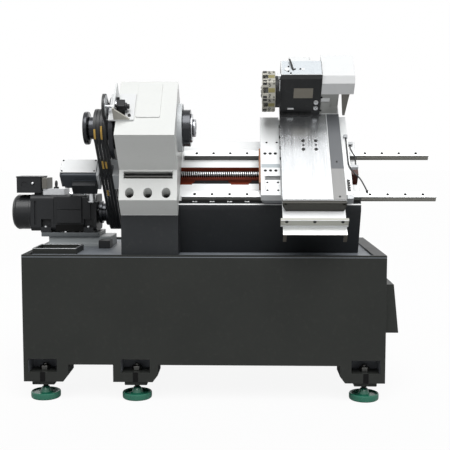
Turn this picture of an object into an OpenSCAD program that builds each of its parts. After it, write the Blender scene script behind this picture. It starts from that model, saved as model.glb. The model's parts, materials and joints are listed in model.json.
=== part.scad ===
// Slant-bed turning lathe, bare machine without its enclosure.
// X runs along the spindle towards the tailing rails, Y to the back, Z up from the floor.
// Slope parts are drawn in (x, u, w): u climbs the 45 degree bed, w stands off it.

/* [Base] */
// Length of the base casting
base_length = 1648; // [1600:1:1750]
// Depth of the base casting from front to back
base_depth = 785; // [740:1:860]
// Height of the chip pan rim above the floor
base_height = 673; // [640:1:720]
// Height of the box underside above the floor
box_bottom = 168; // [160:1:180]
// Height of the foot brackets above the floor
bracket_bottom = 88; // [82:1:96]
// Wall of the base casting
base_wall = 25; // [20:1:30]
// Depth of the chip deck below its rim
pan_depth = 10; // [8:1:20]
// Thickness of the deck
pan_floor = 25; // [20:1:30]
// Width of the front rim
rim_front = 12; // [10:1:20]
// Width of the back rim
rim_back = 30; // [20:1:40]
// Width of the left rim
rim_left = 27; // [20:1:30]
// Width of the right rim
rim_right = 58; // [40:1:70]
// Length of the well in the deck
well_length = 187; // [160:1:200]
// Depth of the well from front to back
well_depth = 162; // [140:1:180]
// Height of the well collar above the rim
well_height = 16; // [10:1:24]
// Wall of the raised collar round the well
well_wall = 9; // [6:1:12]
// Front edge of the well behind the base front
well_setback = 105; // [95:1:150]
// Left edge of the well from the base's left end
well_inset = 36; // [36:1:60]

/* [Levelling feet] */
// Length of a foot bracket along the base
bracket_length = 205; // [190:1:220]
// Depth of a foot bracket from the wall face inwards
bracket_depth = 130; // [115:1:150]
// Length of the pocket in a foot bracket
pocket_length = 131; // [110:1:140]
// Height of the pocket in a foot bracket
pocket_height = 62; // [55:1:70]
// Thickness of the bracket plate that carries the stud
bracket_plate = 43; // [36:1:48]
// Length of the corner cut on a bracket's inner lower edge
bracket_chamfer = 24; // [6:1:30]
// Height of the corner cut on a bracket's inner lower edge
bracket_chamfer_rise = 32; // [6:1:40]
// Distance of the end feet from the base ends
foot_inset = 87; // [84:1:110]
// Distance of the middle feet from the left end
mid_foot = 513; // [450:1:600]
// Distance of the feet from the front and back faces
foot_setback = 62; // [58:1:64]
// Diameter of a levelling pad
pad_d = 136; // [110:1:150]
// Height of a levelling pad
pad_h = 54; // [40:1:62]
// Diameter of a levelling stud
stud_d = 24; // [20:1:28]
// Width across the flats of the stud nuts
nut_flats = 42; // [38:1:48]
// Height of a stud nut
nut_h = 20; // [16:1:24]

/* [Slant bed] */
// Height of the lower rail seat above the chip deck
seat_rise = 259.5; // [245:0.5:275]
// Distance of the lower rail seat behind the base front
seat_setback = 115.5; // [110:0.5:130]
// Distance of the bed's right end from the base's right end
bed_margin = 107; // [80:1:140]
// Bed face below the lower rail, measured down the slope
bed_toe_length = 38; // [32:1:50]
// Bed face above the upper rail, measured up the slope
bed_head_length = 108; // [105:1:130]
// Height of the front lip of the bed
bed_lip = 30; // [20:1:45]
// How far the bed foot stands back from its lip
bed_undercut = 92; // [60:1:110]
// Upright back of the bed behind the base front
bed_back = 445; // [430:1:470]
// Lower edge of the screw channel above the lower rail
channel_low = 86; // [80:1:95]
// Upper edge of the screw channel above the lower rail
channel_high = 196; // [193:1:205]
// Depth of the screw channel
channel_depth = 55; // [50:1:60]

/* [Z guides and screw] */
// Distance between the two bed rails
rail_spacing = 262; // [258:1:268]
// Length of the bed rails
rail_length = 1159; // [1120:1:1200]
// Width of a bed rail
rail_w = 34; // [30:1:38]
// Height of a bed rail
rail_h = 29; // [26:1:32]
// Distance between the rail screws
rail_pitch = 80; // [60:1:100]
// Length of a bed guide block
block_length = 112; // [100:1:125]
// Width of a bed guide block
block_w = 70; // [66:1:76]
// Height of the saddle underside above the bed face
saddle_seat = 55; // [50:1:60]
// Diameter of the Z ball screw
z_screw_d = 32; // [28:1:36]
// Z screw axis up the slope from the lower rail
z_screw_u = 166; // [162:1:168]
// Z screw axis above the bed face
z_screw_w = -18; // [-22:1:-16]
// Side of the square Z servo motor
z_servo_width = 101; // [96:1:106]
// Length of the Z servo motor
z_servo_length = 160; // [140:1:180]

/* [Headstock] */
// Left face of the headstock from the base's left end
headstock_at = 448; // [430:1:460]
// Length of the headstock along the spindle
headstock_length = 260; // [250:1:280]
// Front of the headstock foot down the slope from the lower rail
foot_reach = 101; // [90:1:110]
// Thickness of the headstock foot at its front edge
foot_h = 100; // [85:1:110]
// Height of the headstock foot where it meets the body
foot_top = 170; // [150:1:180]
// Front face of the body up the slope from the lower rail
body_front = 19; // [10:1:30]
// Back face of the body up the slope from the lower rail
body_back = 365; // [360:1:368]
// Top of the body above the bed face
body_top = 386; // [370:1:400]
// Diameter of the holding bolt counterbores
counterbore_d = 40; // [34:1:44]
// Distance between the holding bolts
bolt_spacing = 82; // [75:1:85]
// Length of the window slot over the foot
window_length = 220; // [180:1:230]
// Height of the window slot
window_height = 32; // [24:1:36]
// Depth of the window slot
window_depth = 60; // [40:1:80]

/* [Spindle] */
// Spindle axis up the slope from the lower rail
spindle_u = 213; // [211:1:216]
// Spindle axis above the bed face
spindle_w = 241; // [238:1:246]
// Diameter of the bar bore
bar_bore = 52; // [44:1:58]
// Diameter of the spindle in its bearings
journal_d = 100; // [92:1:104]
// Outer diameter of the spindle bearings
bearing_d = 150; // [140:1:160]
// Width of a spindle bearing set
bearing_w = 66; // [50:1:80]
// Diameter of the front bearing cap
front_cap_d = 220; // [200:1:230]
// Thickness of the front bearing cap
front_cap_t = 21; // [16:1:24]
// Diameter of the spindle nose flange
nose_flange_d = 168; // [160:1:176]
// Thickness of the spindle nose flange
nose_flange_t = 33; // [28:1:40]
// Diameter of the locating step on the nose
nose_step_d = 132; // [126:1:136]
// Diameter of the nose tip
nose_tip_d = 82; // [78:1:90]
// Bolt circle for the chuck
chuck_pcd = 150; // [148:1:152]
// Diameter of the chuck bolt holes
chuck_hole_d = 10; // [8:1:12]
// Diameter of the black rear cap
rear_cap_d = 286; // [260:1:288]
// Pitch diameter of the spindle belt pulley
pulley_d = 154; // [150:1:160]
// Number of V belts
belt_count = 4; // [3:1:4]
// Diameter of the rear collar
collar_d = 151; // [140:1:160]

/* [Spindle motor] */
// How far the fan cowl overhangs the base's left end
motor_overhang = 153; // [140:1:170]
// Tilt of the V belts below the horizontal
belt_tilt = 45.65; // [44:0.05:47]
// Height of the motor block above the chip deck
motor_block_height = 51; // [46:1:60]
// Side of the square motor frame
motor_width = 180; // [170:1:182]
// Length of the motor frame
motor_length = 329; // [300:1:340]
// Length of the fan cowl
cowl_length = 96; // [80:1:110]
// Diameter of the fan cowl
cowl_d = 168; // [150:1:176]
// Pitch diameter of the motor pulley
motor_pulley_d = 150; // [146:1:154]
// Length of the motor plate
motor_plate_length = 290; // [270:1:320]
// Thickness of the motor plate
motor_plate_t = 20; // [16:1:24]

/* [Carriage] */
// Distance of the saddle from the bed's right end
saddle_margin = 46; // [40:1:60]
// Width of the left wing of the saddle
left_wing = 89; // [84:1:100]
// Width of the right wing of the saddle
right_wing = 37; // [30:1:45]
// Lower end of the saddle down the slope from the lower rail
saddle_toe_length = 62; // [56:1:70]
// Upper end of the saddle up the slope from the lower rail
saddle_head_length = 446; // [440:1:460]
// Height of the saddle wings above the bed face
wing_top = 92; // [88:1:98]
// Height of the trough floor above the bed face
trough_floor = 75; // [73:1:78]
// Diameter of the X ball screw
x_screw_d = 20; // [16:1:22]
// Side of the square X servo motor
x_servo_width = 129; // [120:1:134]
// Length of the X servo motor
x_servo_length = 190; // [160:1:220]

/* [Cross slide] */
// Width of the cross slide
slide_w = 280; // [270:1:290]
// Lower end of the slide down the slope from the lower rail
slide_toe_length = 140; // [136:1:150]
// How far the slide runs up the slope past the turret housing
slide_head_margin = 2.5; // [1:0.5:10]
// Top of the slide above the bed face
slide_top = 147; // [144:1:152]
// Thickness of the slide
slide_t = 36; // [32:1:38]
// Width of the bright cover plate
cover_w = 219; // [200:1:225]
// Thickness of the bright cover plate
cover_t = 3; // [2:0.5:4]
// Width of the side strip
strip_w = 58; // [50:1:60]
// Length of the upper way cover
mid_cover_length = 130; // [125:1:140]
// Lower end of the fixed way cover down the slope
low_cover_end = 264; // [255:1:280]
// Drop of the fixed way cover's lip
low_cover_lip = 46; // [36:1:50]

/* [Turret] */
// Turret axis up the slope from the lower rail
turret_distance = 460; // [456:1:464]
// Diameter of the turret disc over its corners
turret_d = 200; // [190:1:206]
// Thickness of the turret disc
turret_t = 60; // [54:1:64]
// Number of tool stations
stations = 8; // [6:2:8]
// Width of a tool slot
slot_w = 26; // [20:1:28]
// Diameter of the turret neck
neck_d = 148; // [140:1:156]
// Length of the turret neck
neck_t = 24; // [20:1:28]
// Length of the turret housing
housing_length = 189; // [182:1:196]
// Depth of the turret housing up the slope
housing_depth = 111; // [105:1:116]
// Top of the turret housing above the bed face
housing_top = 378; // [365:1:385]

/* [Hidden] */

// Round faces and clearances
$fn = 96;
slope = 45;
run_gap = 0.05;
slide_gap = 0.3;
seat_gap = 0.02;
cut = 1;

// Rail end stands clear of the headstock and the part is centred on its own box
rail_start_gap = 13;
headstock_end = headstock_at + headstock_length;
rail_reach = headstock_end + rail_start_gap + rail_length;
base_left = (motor_overhang - rail_reach) / 2;
front_reach = (body_top - body_front) * cos(slope) - seat_setback;
base_front = (front_reach - base_depth) / 2;
base_right = base_left + base_length;
base_back = base_front + base_depth;
function slope_y(u, w) = base_front + seat_setback + u * cos(slope) - w * sin(slope);
function slope_z(u, w) = seat_height + u * sin(slope) + w * cos(slope);

// Base
pan_z = base_height - pan_depth;
seat_height = pan_z + seat_rise;
foot_x = [base_left + foot_inset, base_left + mid_foot, base_right - foot_inset];
bracket_x = [base_left, base_left + mid_foot - bracket_length / 2, base_right - bracket_length];
foot_y = [base_front + foot_setback, base_back - foot_setback];
rib_x = [base_left + mid_foot - base_wall / 2, base_left + base_length * 0.66];
well_x = base_left + well_inset;
well_y = base_front + well_setback;
hood_depth = 240;
hood_setback = 90;
hood_top = 529;
hood_bottom = 303;
hood_wall = 4;

// Headstock and bed stations
hs_x0 = base_left + headstock_at;
lid_inset = 84;
lid_margin = 14;
top_lid_width = 108;
top_lid_length = 225;
top_lid_t = 5;
hs_x1 = base_left + headstock_end;
bed_x1 = base_right - bed_margin;
bed_top_u = rail_spacing + bed_head_length;
bed_back_y = base_front + bed_back;
ridge_drop = bed_back_y - slope_y(bed_top_u, 0);
spindle_y = slope_y(spindle_u, spindle_w);
spindle_z = slope_z(spindle_u, spindle_w);
rail_x0 = hs_x1 + rail_start_gap;
rail_holes = floor((rail_length - rail_pitch) / rail_pitch) + 1;
rail_end = (rail_length - (rail_holes - 1) * rail_pitch) / 2;

// Spindle train, from the headstock's left face outwards
rear_neck_d = 190;
rear_neck_t = 21;
rear_cap_t = 19;
train_gap = 2;
timing_w = 14;
timing_r = 50;
timing_belt_t = 5;
belt_pitch = 15;
belt_w = 12.5;
belt_h = 9;
groove_half = 19;
pulley_w = belt_count * belt_pitch + 2;
rear_cap_x = hs_x0 - rear_neck_t - rear_cap_t;
timing_x = rear_cap_x - train_gap - timing_w;
pulley_x = timing_x - pulley_w;
hub_t = 15;
hub_d = 105;
collar_t = 35;
collar_x = pulley_x - hub_t - collar_t;
spindle_rear_d = 80;
flange_x = hs_x1 + front_cap_t + train_gap;
step_t = 9;
tip_t = 15;

// Encoder
encoder_u = spindle_u - 51;
encoder_w = body_top + 33;
encoder_shaft_d = 14;
encoder_boss_d = 30;
encoder_side = 46;
encoder_length = 40;
angle_t = 8;
angle_length = 112;
angle_span = 169;
angle_reach = 38;
angle_x = hs_x0 - 33;
angle_u = 105;
upright_x = hs_x0 - angle_t;

// Motor
motor_x0 = base_left - motor_overhang;
frame_x0 = motor_x0 + cowl_length;
frame_x1 = frame_x0 + motor_length;
plate_z = pan_z + motor_block_height + motor_plate_t;
motor_foot_t = 6;
motor_foot_x = [frame_x0 + 52, frame_x1 - 64];
motor_pocket_height = 40;
motor_pocket_depth = 22;
terminal_gap = 10;
terminal_length = 126;
terminal_depth = 130;
terminal_height = 82;
lid_t = 6;
lid_lap = 2;
pad_x0 = motor_x0 + 22 + terminal_length + lid_lap + 1;
pad_length = 112;
pad_depth = 120;
pad_rise = 30;
eye_r = 14;
motor_foot_length = 50;
motor_foot_height = 26;
motor_foot_side = 8;
panel_inset = 115;
panel_length = 144;
panel_height = 136;
panel_drop = 10;
motor_height = plate_z + motor_foot_t + motor_width / 2;
motor_top = motor_height + motor_width / 2;
motor_y = spindle_y + (spindle_z - motor_height) / tan(belt_tilt);
motor_shaft_d = 42;
block_x0 = base_left + rim_left + 6;
block_length_x = 312;
block_wall = 22;
block_flange = 10;
block_h = motor_block_height;

// Z drive
arm_w = 34;
bracket_x1 = hs_x0;
housing_t = 57;
loop_left = pulley_x - 4;
end_plate_t = 12;
z_shaft_d = 20;
z_servo_x1 = loop_left - end_plate_t;
z_flange_t = 14;
z_tail_length = 14;
plug_box_length = 116;
plug_box_height = 58;
plug_box_drop = 32;
end_bearing_t = 50;
end_bearing_side = 74;

// Carriage
slide_side_gap = 3;
sad_x1 = bed_x1 - saddle_margin;
sad_x0 = sad_x1 - left_wing - slide_w - 2 * slide_side_gap - right_wing;
slide_x0 = sad_x0 + left_wing + slide_side_gap;
slide_x1 = slide_x0 + slide_w;
slide_mid = (slide_x0 + slide_x1) / 2;
saddle_ends = [sad_x0 + 12, sad_x1 - 12 - block_length];
nut_x = sad_x0 + 175;
nut_t = 70;
nut_r = 24;
tube_d = 6;
elbow_d = 9;
long_tube = [sad_x1 - 9.5, 297, wing_top + elbow_d / 2 + 0.5];
short_tube = [sad_x1 + 11.5, 271, wing_top - 20];
short_tube_end = 137;
long_tube_path = [[0, 0], [0, -192], [45, -260], [63, -312], [70, -340]];
short_tube_path = [[0, 0], [0, -30], [16.5, -66], [16.5, short_tube_end - short_tube[1]]];

// Cross slide drive
slide_head_length = turret_distance + housing_depth / 2 + slide_head_margin;
slide_bottom = slide_top - slide_t;
slide_chamfer = 6;
x_rail_w = 23;
x_rail_h = 18;
x_rail_inset = 38;
x_rail_u0 = -36;
x_rail_end_gap = 6;
x_rail_length = saddle_head_length - x_rail_end_gap - x_rail_u0;
x_block_u = [62, 310];
x_block_length = 80;
x_block_w = 62;
x_screw_w = trough_floor + 18;
x_axis = slide_x0 + 110;
x_nut_u = 200;
x_nut_t = 56;
x_nut_w = 52;
x_nut_drop = 16;
x_bearing_w = 72;
x_bearing_h = 36;
x_bearing_t = 26;
x_tail_length = 36;
x_tail_inset = 9;
x_bracket_u1 = slide_head_length + 72;
x_plate_t = 14;
cover_top = slide_top + cover_t;
cover_hole_x = [104, 162];
cover_hole_u = 195.5;
cover_hole_pitch = 27.5;
small_hole_d = 9;
large_hole_d = 13;

// Turret
turret_x1 = slide_x0 - neck_t;
turret_x0 = turret_x1 - turret_t;
housing_u0 = turret_distance - housing_depth / 2;
housing_u1 = turret_distance + housing_depth / 2;
housing_chamfer = 14;
turret_shaft_d = 80;
sight_w = [housing_top - 188, housing_top - 153];
slot_depth = 26;
slot_floor = 48;
cover_x0 = slide_x0 + housing_length;
mc_x1 = cover_x0 + 151;
mc_low = 272;
mc_high = 364;
mc_chamfer = 27;
mc_back = 576;
sheet_t = 3;
gear_x1 = cover_x0 + 84;
gear_u0 = housing_u0 + 8;
gear_depth = housing_depth - 16;
gear_rise = 20;

// Way covers
cover_sheet = 2;
mid_w = trough_floor + 8;
mid_bar_t = 11;
mid_bar_top = 102;
mid_cover_u = -slide_toe_length + 65;
low_w = saddle_seat + 1;
mid_bar_low = low_w + cover_sheet + slide_gap;
bar_side = 8;

// Draws children in slope coordinates
module on_slope() {
    translate([0, base_front + seat_setback, seat_height])
        rotate([slope, 0, 0])
            children();
}

// Extrudes a (y, z) or (u, w) outline from x0 to x1
module along_x(x0, x1) {
    translate([x0, 0, 0])
        rotate([90, 0, 90])
            linear_extrude(x1 - x0)
                children();
}

// Turns children about an X axis at (y, z), with their height along +X
module about_x(y, z, x = 0) {
    translate([x, y, z])
        rotate([0, 90, 0])
            children();
}

// Ring or disc about an X axis
module disc_x(y, z, x, d, t, hole = 0) {
    about_x(y, z, x)
        difference() {
            cylinder(d = d, h = t);
            if (hole > 0)
                translate([0, 0, -cut]) cylinder(d = hole, h = t + 2 * cut);
        }
}

// Flat rectangle with round corners, from its lower left corner
module round_rect(l, w, r) {
    translate([r, 0]) square([l - 2 * r, w]);
    translate([0, r]) square([l, w - 2 * r]);
    for (x = [r, l - r], y = [r, w - r])
        translate([x, y]) circle(r);
}

// Outline of a linear rail, waisted along both sides
module rail_outline(w, h, grow = 0) {
    half = w / 2 + grow;
    waist = w * 0.38 + grow;
    polygon([
        [-half, -grow], [half, -grow], [half, h * 0.42], [waist, h * 0.55], [waist, h * 0.66],
        [half, h * 0.8], [half, h + grow], [-half, h + grow], [-half, h * 0.8], [-waist, h * 0.66],
        [-waist, h * 0.55], [-half, h * 0.42]
    ]);
}

// Guide block outline that straddles a rail
module block_outline(w, low, high, rail_width, rail_height) {
    difference() {
        translate([-w / 2, low]) square([w, high - low]);
        rail_outline(rail_width, rail_height, slide_gap);
        translate([-rail_width / 2 - slide_gap, 0]) square([rail_width + 2 * slide_gap, rail_height * 0.42]);
    }
}

// Base

module foot_bracket_outline() {
    c = bracket_chamfer;
    h = box_bottom - bracket_bottom + cut;
    polygon([[0, 0], [bracket_length - c, 0], [bracket_length, bracket_chamfer_rise], [bracket_length, h], [0, h]]);
}

module foot_brackets() {
    for (i = [0 : 2], y = [base_front, base_back - bracket_depth])
        translate([i == 2 ? base_right : bracket_x[i], y + bracket_depth, bracket_bottom])
            rotate([90, 0, 0])
                linear_extrude(bracket_depth)
                    scale([i == 2 ? -1 : 1, 1]) foot_bracket_outline();
}

module foot_pockets() {
    pocket_z = bracket_bottom + bracket_plate;
    for (x = foot_x) {
        translate([x - pocket_length / 2, base_front - cut, pocket_z])
            cube([pocket_length, bracket_depth - base_wall + cut, pocket_height]);
        translate([x - pocket_length / 2, base_back - bracket_depth + base_wall, pocket_z])
            cube([pocket_length, bracket_depth - base_wall + cut, pocket_height]);
        for (y = foot_y)
            translate([x, y, bracket_bottom - cut])
                cylinder(d = stud_d + 2, h = bracket_plate + 2 * cut);
    }
}

module base_bays() {
    bay_x = concat([base_left + base_wall], [for (x = rib_x) x + base_wall]);
    bay_end = concat(rib_x, [base_right - base_wall]);
    inner_z = bracket_bottom + bracket_plate + pocket_height + base_wall;
    for (i = [0 : len(bay_x) - 1]) {
        translate([bay_x[i], base_front + bracket_depth, box_bottom - cut])
            cube([bay_end[i] - bay_x[i], base_depth - 2 * bracket_depth, pan_z - pan_floor - box_bottom + cut]);
        translate([bay_x[i], base_front + base_wall, inner_z])
            cube([bay_end[i] - bay_x[i], base_depth - 2 * base_wall, pan_z - pan_floor - inner_z]);
    }
}

module base_casting() color("#2b2d2b") {
    difference() {
        union() {
            translate([base_left, base_front, box_bottom])
                cube([base_length, base_depth, base_height - box_bottom]);
            foot_brackets();
        }
        translate([base_left + rim_left, base_front + rim_front, pan_z])
            cube([base_length - rim_left - rim_right, base_depth - rim_front - rim_back, pan_depth + cut]);
        base_bays();
        foot_pockets();
        translate([well_x, well_y, pan_z - pan_floor - cut])
            cube([well_length, well_depth, pan_floor + 2 * cut]);
    }
    translate([well_x - well_wall, well_y - well_wall, pan_z])
        difference() {
            cube([well_length + 2 * well_wall, well_depth + 2 * well_wall, pan_depth + well_height]);
            translate([well_wall, well_wall, -cut]) cube([well_length, well_depth, pan_depth + well_height + 2 * cut]);
        }
}

// Sheet hood over the outlet on the right end, open below
module hood_outline(inset) {
    polygon([
        [0, hood_bottom - (inset > 0 ? cut : 0)], [0, hood_top - inset], [48 - inset, hood_top - inset],
        [72 - inset, hood_bottom - (inset > 0 ? cut : 0)]
    ]);
}

module chip_hood() color("#2b2d2b")
    translate([base_right, base_front + hood_depth + hood_setback, 0])
        rotate([90, 0, 0])
            difference() {
                linear_extrude(hood_depth) hood_outline(0);
                translate([0, 0, hood_wall]) linear_extrude(hood_depth - 2 * hood_wall) hood_outline(hood_wall);
            }

module levelling_pads() color("#0b5a3c")
    for (x = foot_x, y = foot_y)
        translate([x, y, 0])
            rotate_extrude()
                polygon([[0, 0], [pad_d / 2 - 8, 0], [pad_d / 2 - 2, 3], [pad_d / 2, 9], [pad_d / 2, 15],
                    [pad_d / 2 - 4, 20], [pad_d * 0.41, 22], [pad_d * 0.4, 29], [pad_d * 0.375, 32],
                    [pad_d * 0.34, 29], [pad_d * 0.24, 27], [pad_d * 0.2, 34], [pad_d * 0.17, pad_h], [0, pad_h]]);

module levelling_studs() color("#3a3a38") {
    plate_top = bracket_bottom + bracket_plate;
    for (x = foot_x, y = foot_y)
        translate([x, y, 0]) {
            translate([0, 0, pad_h]) cylinder(d = stud_d, h = plate_top + pocket_height - 8 - pad_h);
            translate([0, 0, plate_top]) cylinder(d = nut_flats / cos(30), h = nut_h, $fn = 6);
            translate([0, 0, bracket_bottom - nut_h]) cylinder(d = nut_flats / cos(30), h = nut_h, $fn = 6);
        }
}

// Slant bed

module bed_outline(toe_y, toe_z, foot_y0) {
    polygon([
        [foot_y0, pan_z], [toe_y, toe_z - bed_lip], [toe_y, toe_z],
        [slope_y(bed_top_u, 0), slope_z(bed_top_u, 0)],
        [bed_back_y, slope_z(bed_top_u, 0) - ridge_drop], [bed_back_y, pan_z]
    ]);
}

module slant_bed() color("#303230") {
    toe_y = slope_y(-bed_toe_length, 0);
    toe_z = slope_z(-bed_toe_length, 0);
    difference() {
        union() {
            along_x(hs_x0, bed_x1) bed_outline(toe_y, toe_z, toe_y + bed_undercut);
            along_x(hs_x0, hs_x1) bed_outline(slope_y(-foot_reach, 0), slope_z(-foot_reach, 0), slope_y(-foot_reach, 0));
        }
        on_slope() translate([hs_x0 - cut, channel_low, -channel_depth])
            cube([bed_x1 - hs_x0 + 2 * cut, channel_high - channel_low, channel_depth + cut]);
    }
}

module bed_rails() color("#c9ccce")
    for (u = [0, rail_spacing])
        on_slope() difference() {
            translate([0, u, seat_gap]) along_x(rail_x0, rail_x0 + rail_length)
                rail_outline(rail_w, rail_h - seat_gap);
            for (i = [0 : rail_holes - 1])
                translate([rail_x0 + rail_end + i * rail_pitch, u, 0]) {
                    translate([0, 0, -cut]) cylinder(d = 9, h = rail_h + 2 * cut);
                    translate([0, 0, rail_h - 12]) cylinder(d = 14, h = 12 + cut);
                }
        }

// Headstock

module headstock() color("#b9bbb6") {
    face_tilt = atan2(foot_top - foot_h, body_front + foot_reach);
    face_length = norm([foot_top - foot_h, body_front + foot_reach]);
    on_slope() difference() {
        along_x(hs_x0, hs_x1)
            polygon([[-foot_reach, seat_gap], [-foot_reach, foot_h], [body_front, foot_top], [body_front, body_top],
                [body_back, body_top], [body_back, seat_gap]]);
        disc_x(spindle_u, spindle_w, hs_x0 - cut, bearing_d, headstock_length + 2 * cut);
        headstock_bolt_places() {
            translate([0, 0, 60]) cylinder(d = counterbore_d, h = foot_top);
            translate([0, 0, -cut]) cylinder(d = 22, h = foot_top);
        }
        translate([(hs_x0 + hs_x1 - window_length) / 2, -foot_reach, foot_h])
            rotate([face_tilt, 0, 0])
                translate([0, face_length - window_height - 8, -window_depth])
                    cube([window_length, window_height, window_depth + foot_h]);
    }
}

module headstock_bolt_places() {
    for (i = [-1, 0, 1])
        translate([(hs_x0 + hs_x1) / 2 + i * bolt_spacing, -foot_reach + 29, 0])
            children();
}

module headstock_cover() color("#d4d6d2")
    on_slope() translate([hs_x0 + lid_inset, body_back - lid_margin - top_lid_length, body_top])
        linear_extrude(top_lid_t) round_rect(top_lid_width, top_lid_length, 8);

module headstock_bolts() color("#2a2b2b")
    on_slope() headstock_bolt_places()
        translate([0, 0, 60]) difference() {
            cylinder(d = 30, h = 20);
            translate([0, 0, 10]) cylinder(d = 17 / cos(30), h = 11, $fn = 6);
        }

module spindle_bearings() color("#8c8f92")
    on_slope() for (x = [hs_x0, hs_x1 - bearing_w])
        disc_x(spindle_u, spindle_w, x, bearing_d, bearing_w, journal_d + 2 * run_gap);

module front_bearing_cap() color("#c4c6c2")
    on_slope() difference() {
        disc_x(spindle_u, spindle_w, hs_x1, front_cap_d, front_cap_t, journal_d + 2 * slide_gap);
        for (a = [0 : 60 : 300])
            about_x(spindle_u, spindle_w, hs_x1 + front_cap_t - 8) rotate(a)
                translate([front_cap_d * 0.43, 0, 0]) cylinder(d = 13, h = 8 + cut);
    }

module rear_bearing_cap() color("#1f2021")
    on_slope() about_x(spindle_u, spindle_w, rear_cap_x)
        rotate_extrude()
            polygon([[spindle_rear_d / 2 + slide_gap, 0], [rear_cap_d / 2, 0], [rear_cap_d / 2, rear_cap_t],
                [rear_neck_d / 2, rear_cap_t], [rear_neck_d / 2, rear_cap_t + rear_neck_t],
                [spindle_rear_d / 2 + slide_gap, rear_cap_t + rear_neck_t]]);

// Spindle encoder on its angle bracket

module encoder_bracket() color("#a9aba6")
    on_slope() {
        top = encoder_w - body_top + angle_reach;
        translate([angle_x, angle_u, body_top]) cube([angle_length, angle_span, angle_t]);
        difference() {
            translate([upright_x, angle_u, body_top]) cube([angle_t, angle_span, top]);
            disc_x(encoder_u, encoder_w, upright_x - cut, encoder_boss_d, angle_t + 2 * cut);
        }
        translate([upright_x, angle_u + angle_t, body_top])
            rotate([90, 0, 0])
                linear_extrude(angle_t)
                    polygon([[0, angle_t - cut], [angle_length - 40, angle_t - cut], [angle_t, top - 6], [0, top - 6]]);
    }

module encoder_body() color("#1b1c1d")
    on_slope() difference() {
        union() {
            square_block(encoder_u, encoder_w, encoder_side, hs_x0, hs_x0 + encoder_length, 6);
            disc_x(encoder_u, encoder_w, upright_x, encoder_boss_d, angle_t + cut);
        }
        disc_x(encoder_u, encoder_w, upright_x - cut, encoder_shaft_d + 2 * run_gap, encoder_length - 4);
    }

module encoder_pulley() color("#3b3d3f")
    on_slope() {
        disc_x(encoder_u, encoder_w, timing_x, 2 * timing_r, timing_w);
        disc_x(encoder_u, encoder_w, timing_x + timing_w - cut, encoder_shaft_d, hs_x0 + 20 - timing_x - timing_w + cut);
    }

// Open belt round two equal or unequal pulleys, drawn in the plane of the loop
// The straight runs lap a little into the arcs at their ends
module belt_loop(r1, r2, span) {
    lap = 0.6;
    tangent = acos((r1 - r2) / span);
    run = sqrt(span * span - (r1 - r2) * (r1 - r2));
    rotate(tangent) rotate_extrude(angle = 360 - 2 * tangent) translate([r1, 0]) children();
    translate([span, 0, 0]) rotate(-tangent) rotate_extrude(angle = 2 * tangent) translate([r2, 0]) children();
    for (side = [-1, 1])
        rotate(side * tangent) rotate([side * 90, 0, 0])
            translate([0, 0, -lap]) linear_extrude(run + 2 * lap) translate([r1, 0]) children();
}

module encoder_belt() color("#202122")
    on_slope() {
        du = encoder_u - spindle_u;
        dw = encoder_w - spindle_w;
        translate([timing_x + timing_w / 2, spindle_u, spindle_w])
            rotate([90, 0, 90]) rotate(atan2(dw, du))
                belt_loop(timing_r + slide_gap, timing_r + slide_gap, norm([du, dw]))
                    translate([0, 1 - timing_w / 2]) square([timing_belt_t, timing_w - 2]);
    }

// V belts between the spindle and the motor

module belt_section(r, grow = 0) {
    top = belt_w / 2 + grow;
    low = top - belt_h * tan(groove_half);
    translate([r, 0]) polygon([[-belt_h / 2, -low], [-belt_h / 2, low], [belt_h / 2, top], [belt_h / 2, -top]]);
}

module drive_belts() color("#17181a") {
    dy = motor_y - spindle_y;
    dz = motor_height - spindle_z;
    for (i = [0 : belt_count - 1])
        translate([pulley_x + 1 + (i + 0.5) * belt_pitch, spindle_y, spindle_z])
            rotate([90, 0, 90]) rotate(atan2(dz, dy))
                belt_loop(pulley_d / 2, motor_pulley_d / 2, norm([dy, dz])) belt_section(0);
}

module grooved_pulley(d, hole) {
    r = d / 2 + belt_h / 2 - 1;
    difference() {
        cylinder(r = r, h = pulley_w);
        translate([0, 0, -cut]) cylinder(d = hole, h = pulley_w + 2 * cut);
        for (i = [0 : belt_count - 1])
            translate([0, 0, 1 + (i + 0.5) * belt_pitch])
                rotate_extrude()
                    translate([d / 2, 0]) polygon([
                        [-belt_h / 2 - 2, -belt_w / 2 + belt_h * tan(groove_half) - slide_gap],
                        [-belt_h / 2 - 2, belt_w / 2 - belt_h * tan(groove_half) + slide_gap],
                        [-belt_h / 2, belt_w / 2 - belt_h * tan(groove_half) + slide_gap],
                        [belt_h / 2, belt_w / 2 + slide_gap], [belt_h / 2, -belt_w / 2 - slide_gap],
                        [-belt_h / 2, -belt_w / 2 + belt_h * tan(groove_half) - slide_gap]
                    ]);
    }
}

// Turning parts on the spindle axis

module spindle() color("#2c2e30") {
    step_x = nose_flange_t;
    tip_x = step_x + step_t;
    rear = hs_x0 + bearing_w - flange_x;
    tail = collar_x - flange_x;
    on_slope() about_x(spindle_u, spindle_w, flange_x) difference() {
        rotate_extrude()
            polygon([[bar_bore / 2, tail], [spindle_rear_d / 2, tail], [spindle_rear_d / 2, hs_x0 - flange_x],
                [journal_d / 2, hs_x0 - flange_x], [journal_d / 2, 0], [nose_flange_d / 2, 0],
                [nose_flange_d / 2, step_x], [nose_step_d / 2, step_x], [nose_step_d / 2, tip_x],
                [nose_tip_d / 2, tip_x], [nose_tip_d / 2, tip_x + tip_t - 3], [nose_tip_d / 2 - 3, tip_x + tip_t],
                [bar_bore / 2, tip_x + tip_t]]);
        for (a = [0 : 60 : 300])
            rotate(a) translate([chuck_pcd / 2, 0, step_x - 22]) cylinder(d = chuck_hole_d, h = 22 + cut);
    }
}

module spindle_pulley() color("#26282a")
    on_slope() about_x(spindle_u, spindle_w, pulley_x) grooved_pulley(pulley_d, spindle_rear_d);

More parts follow.
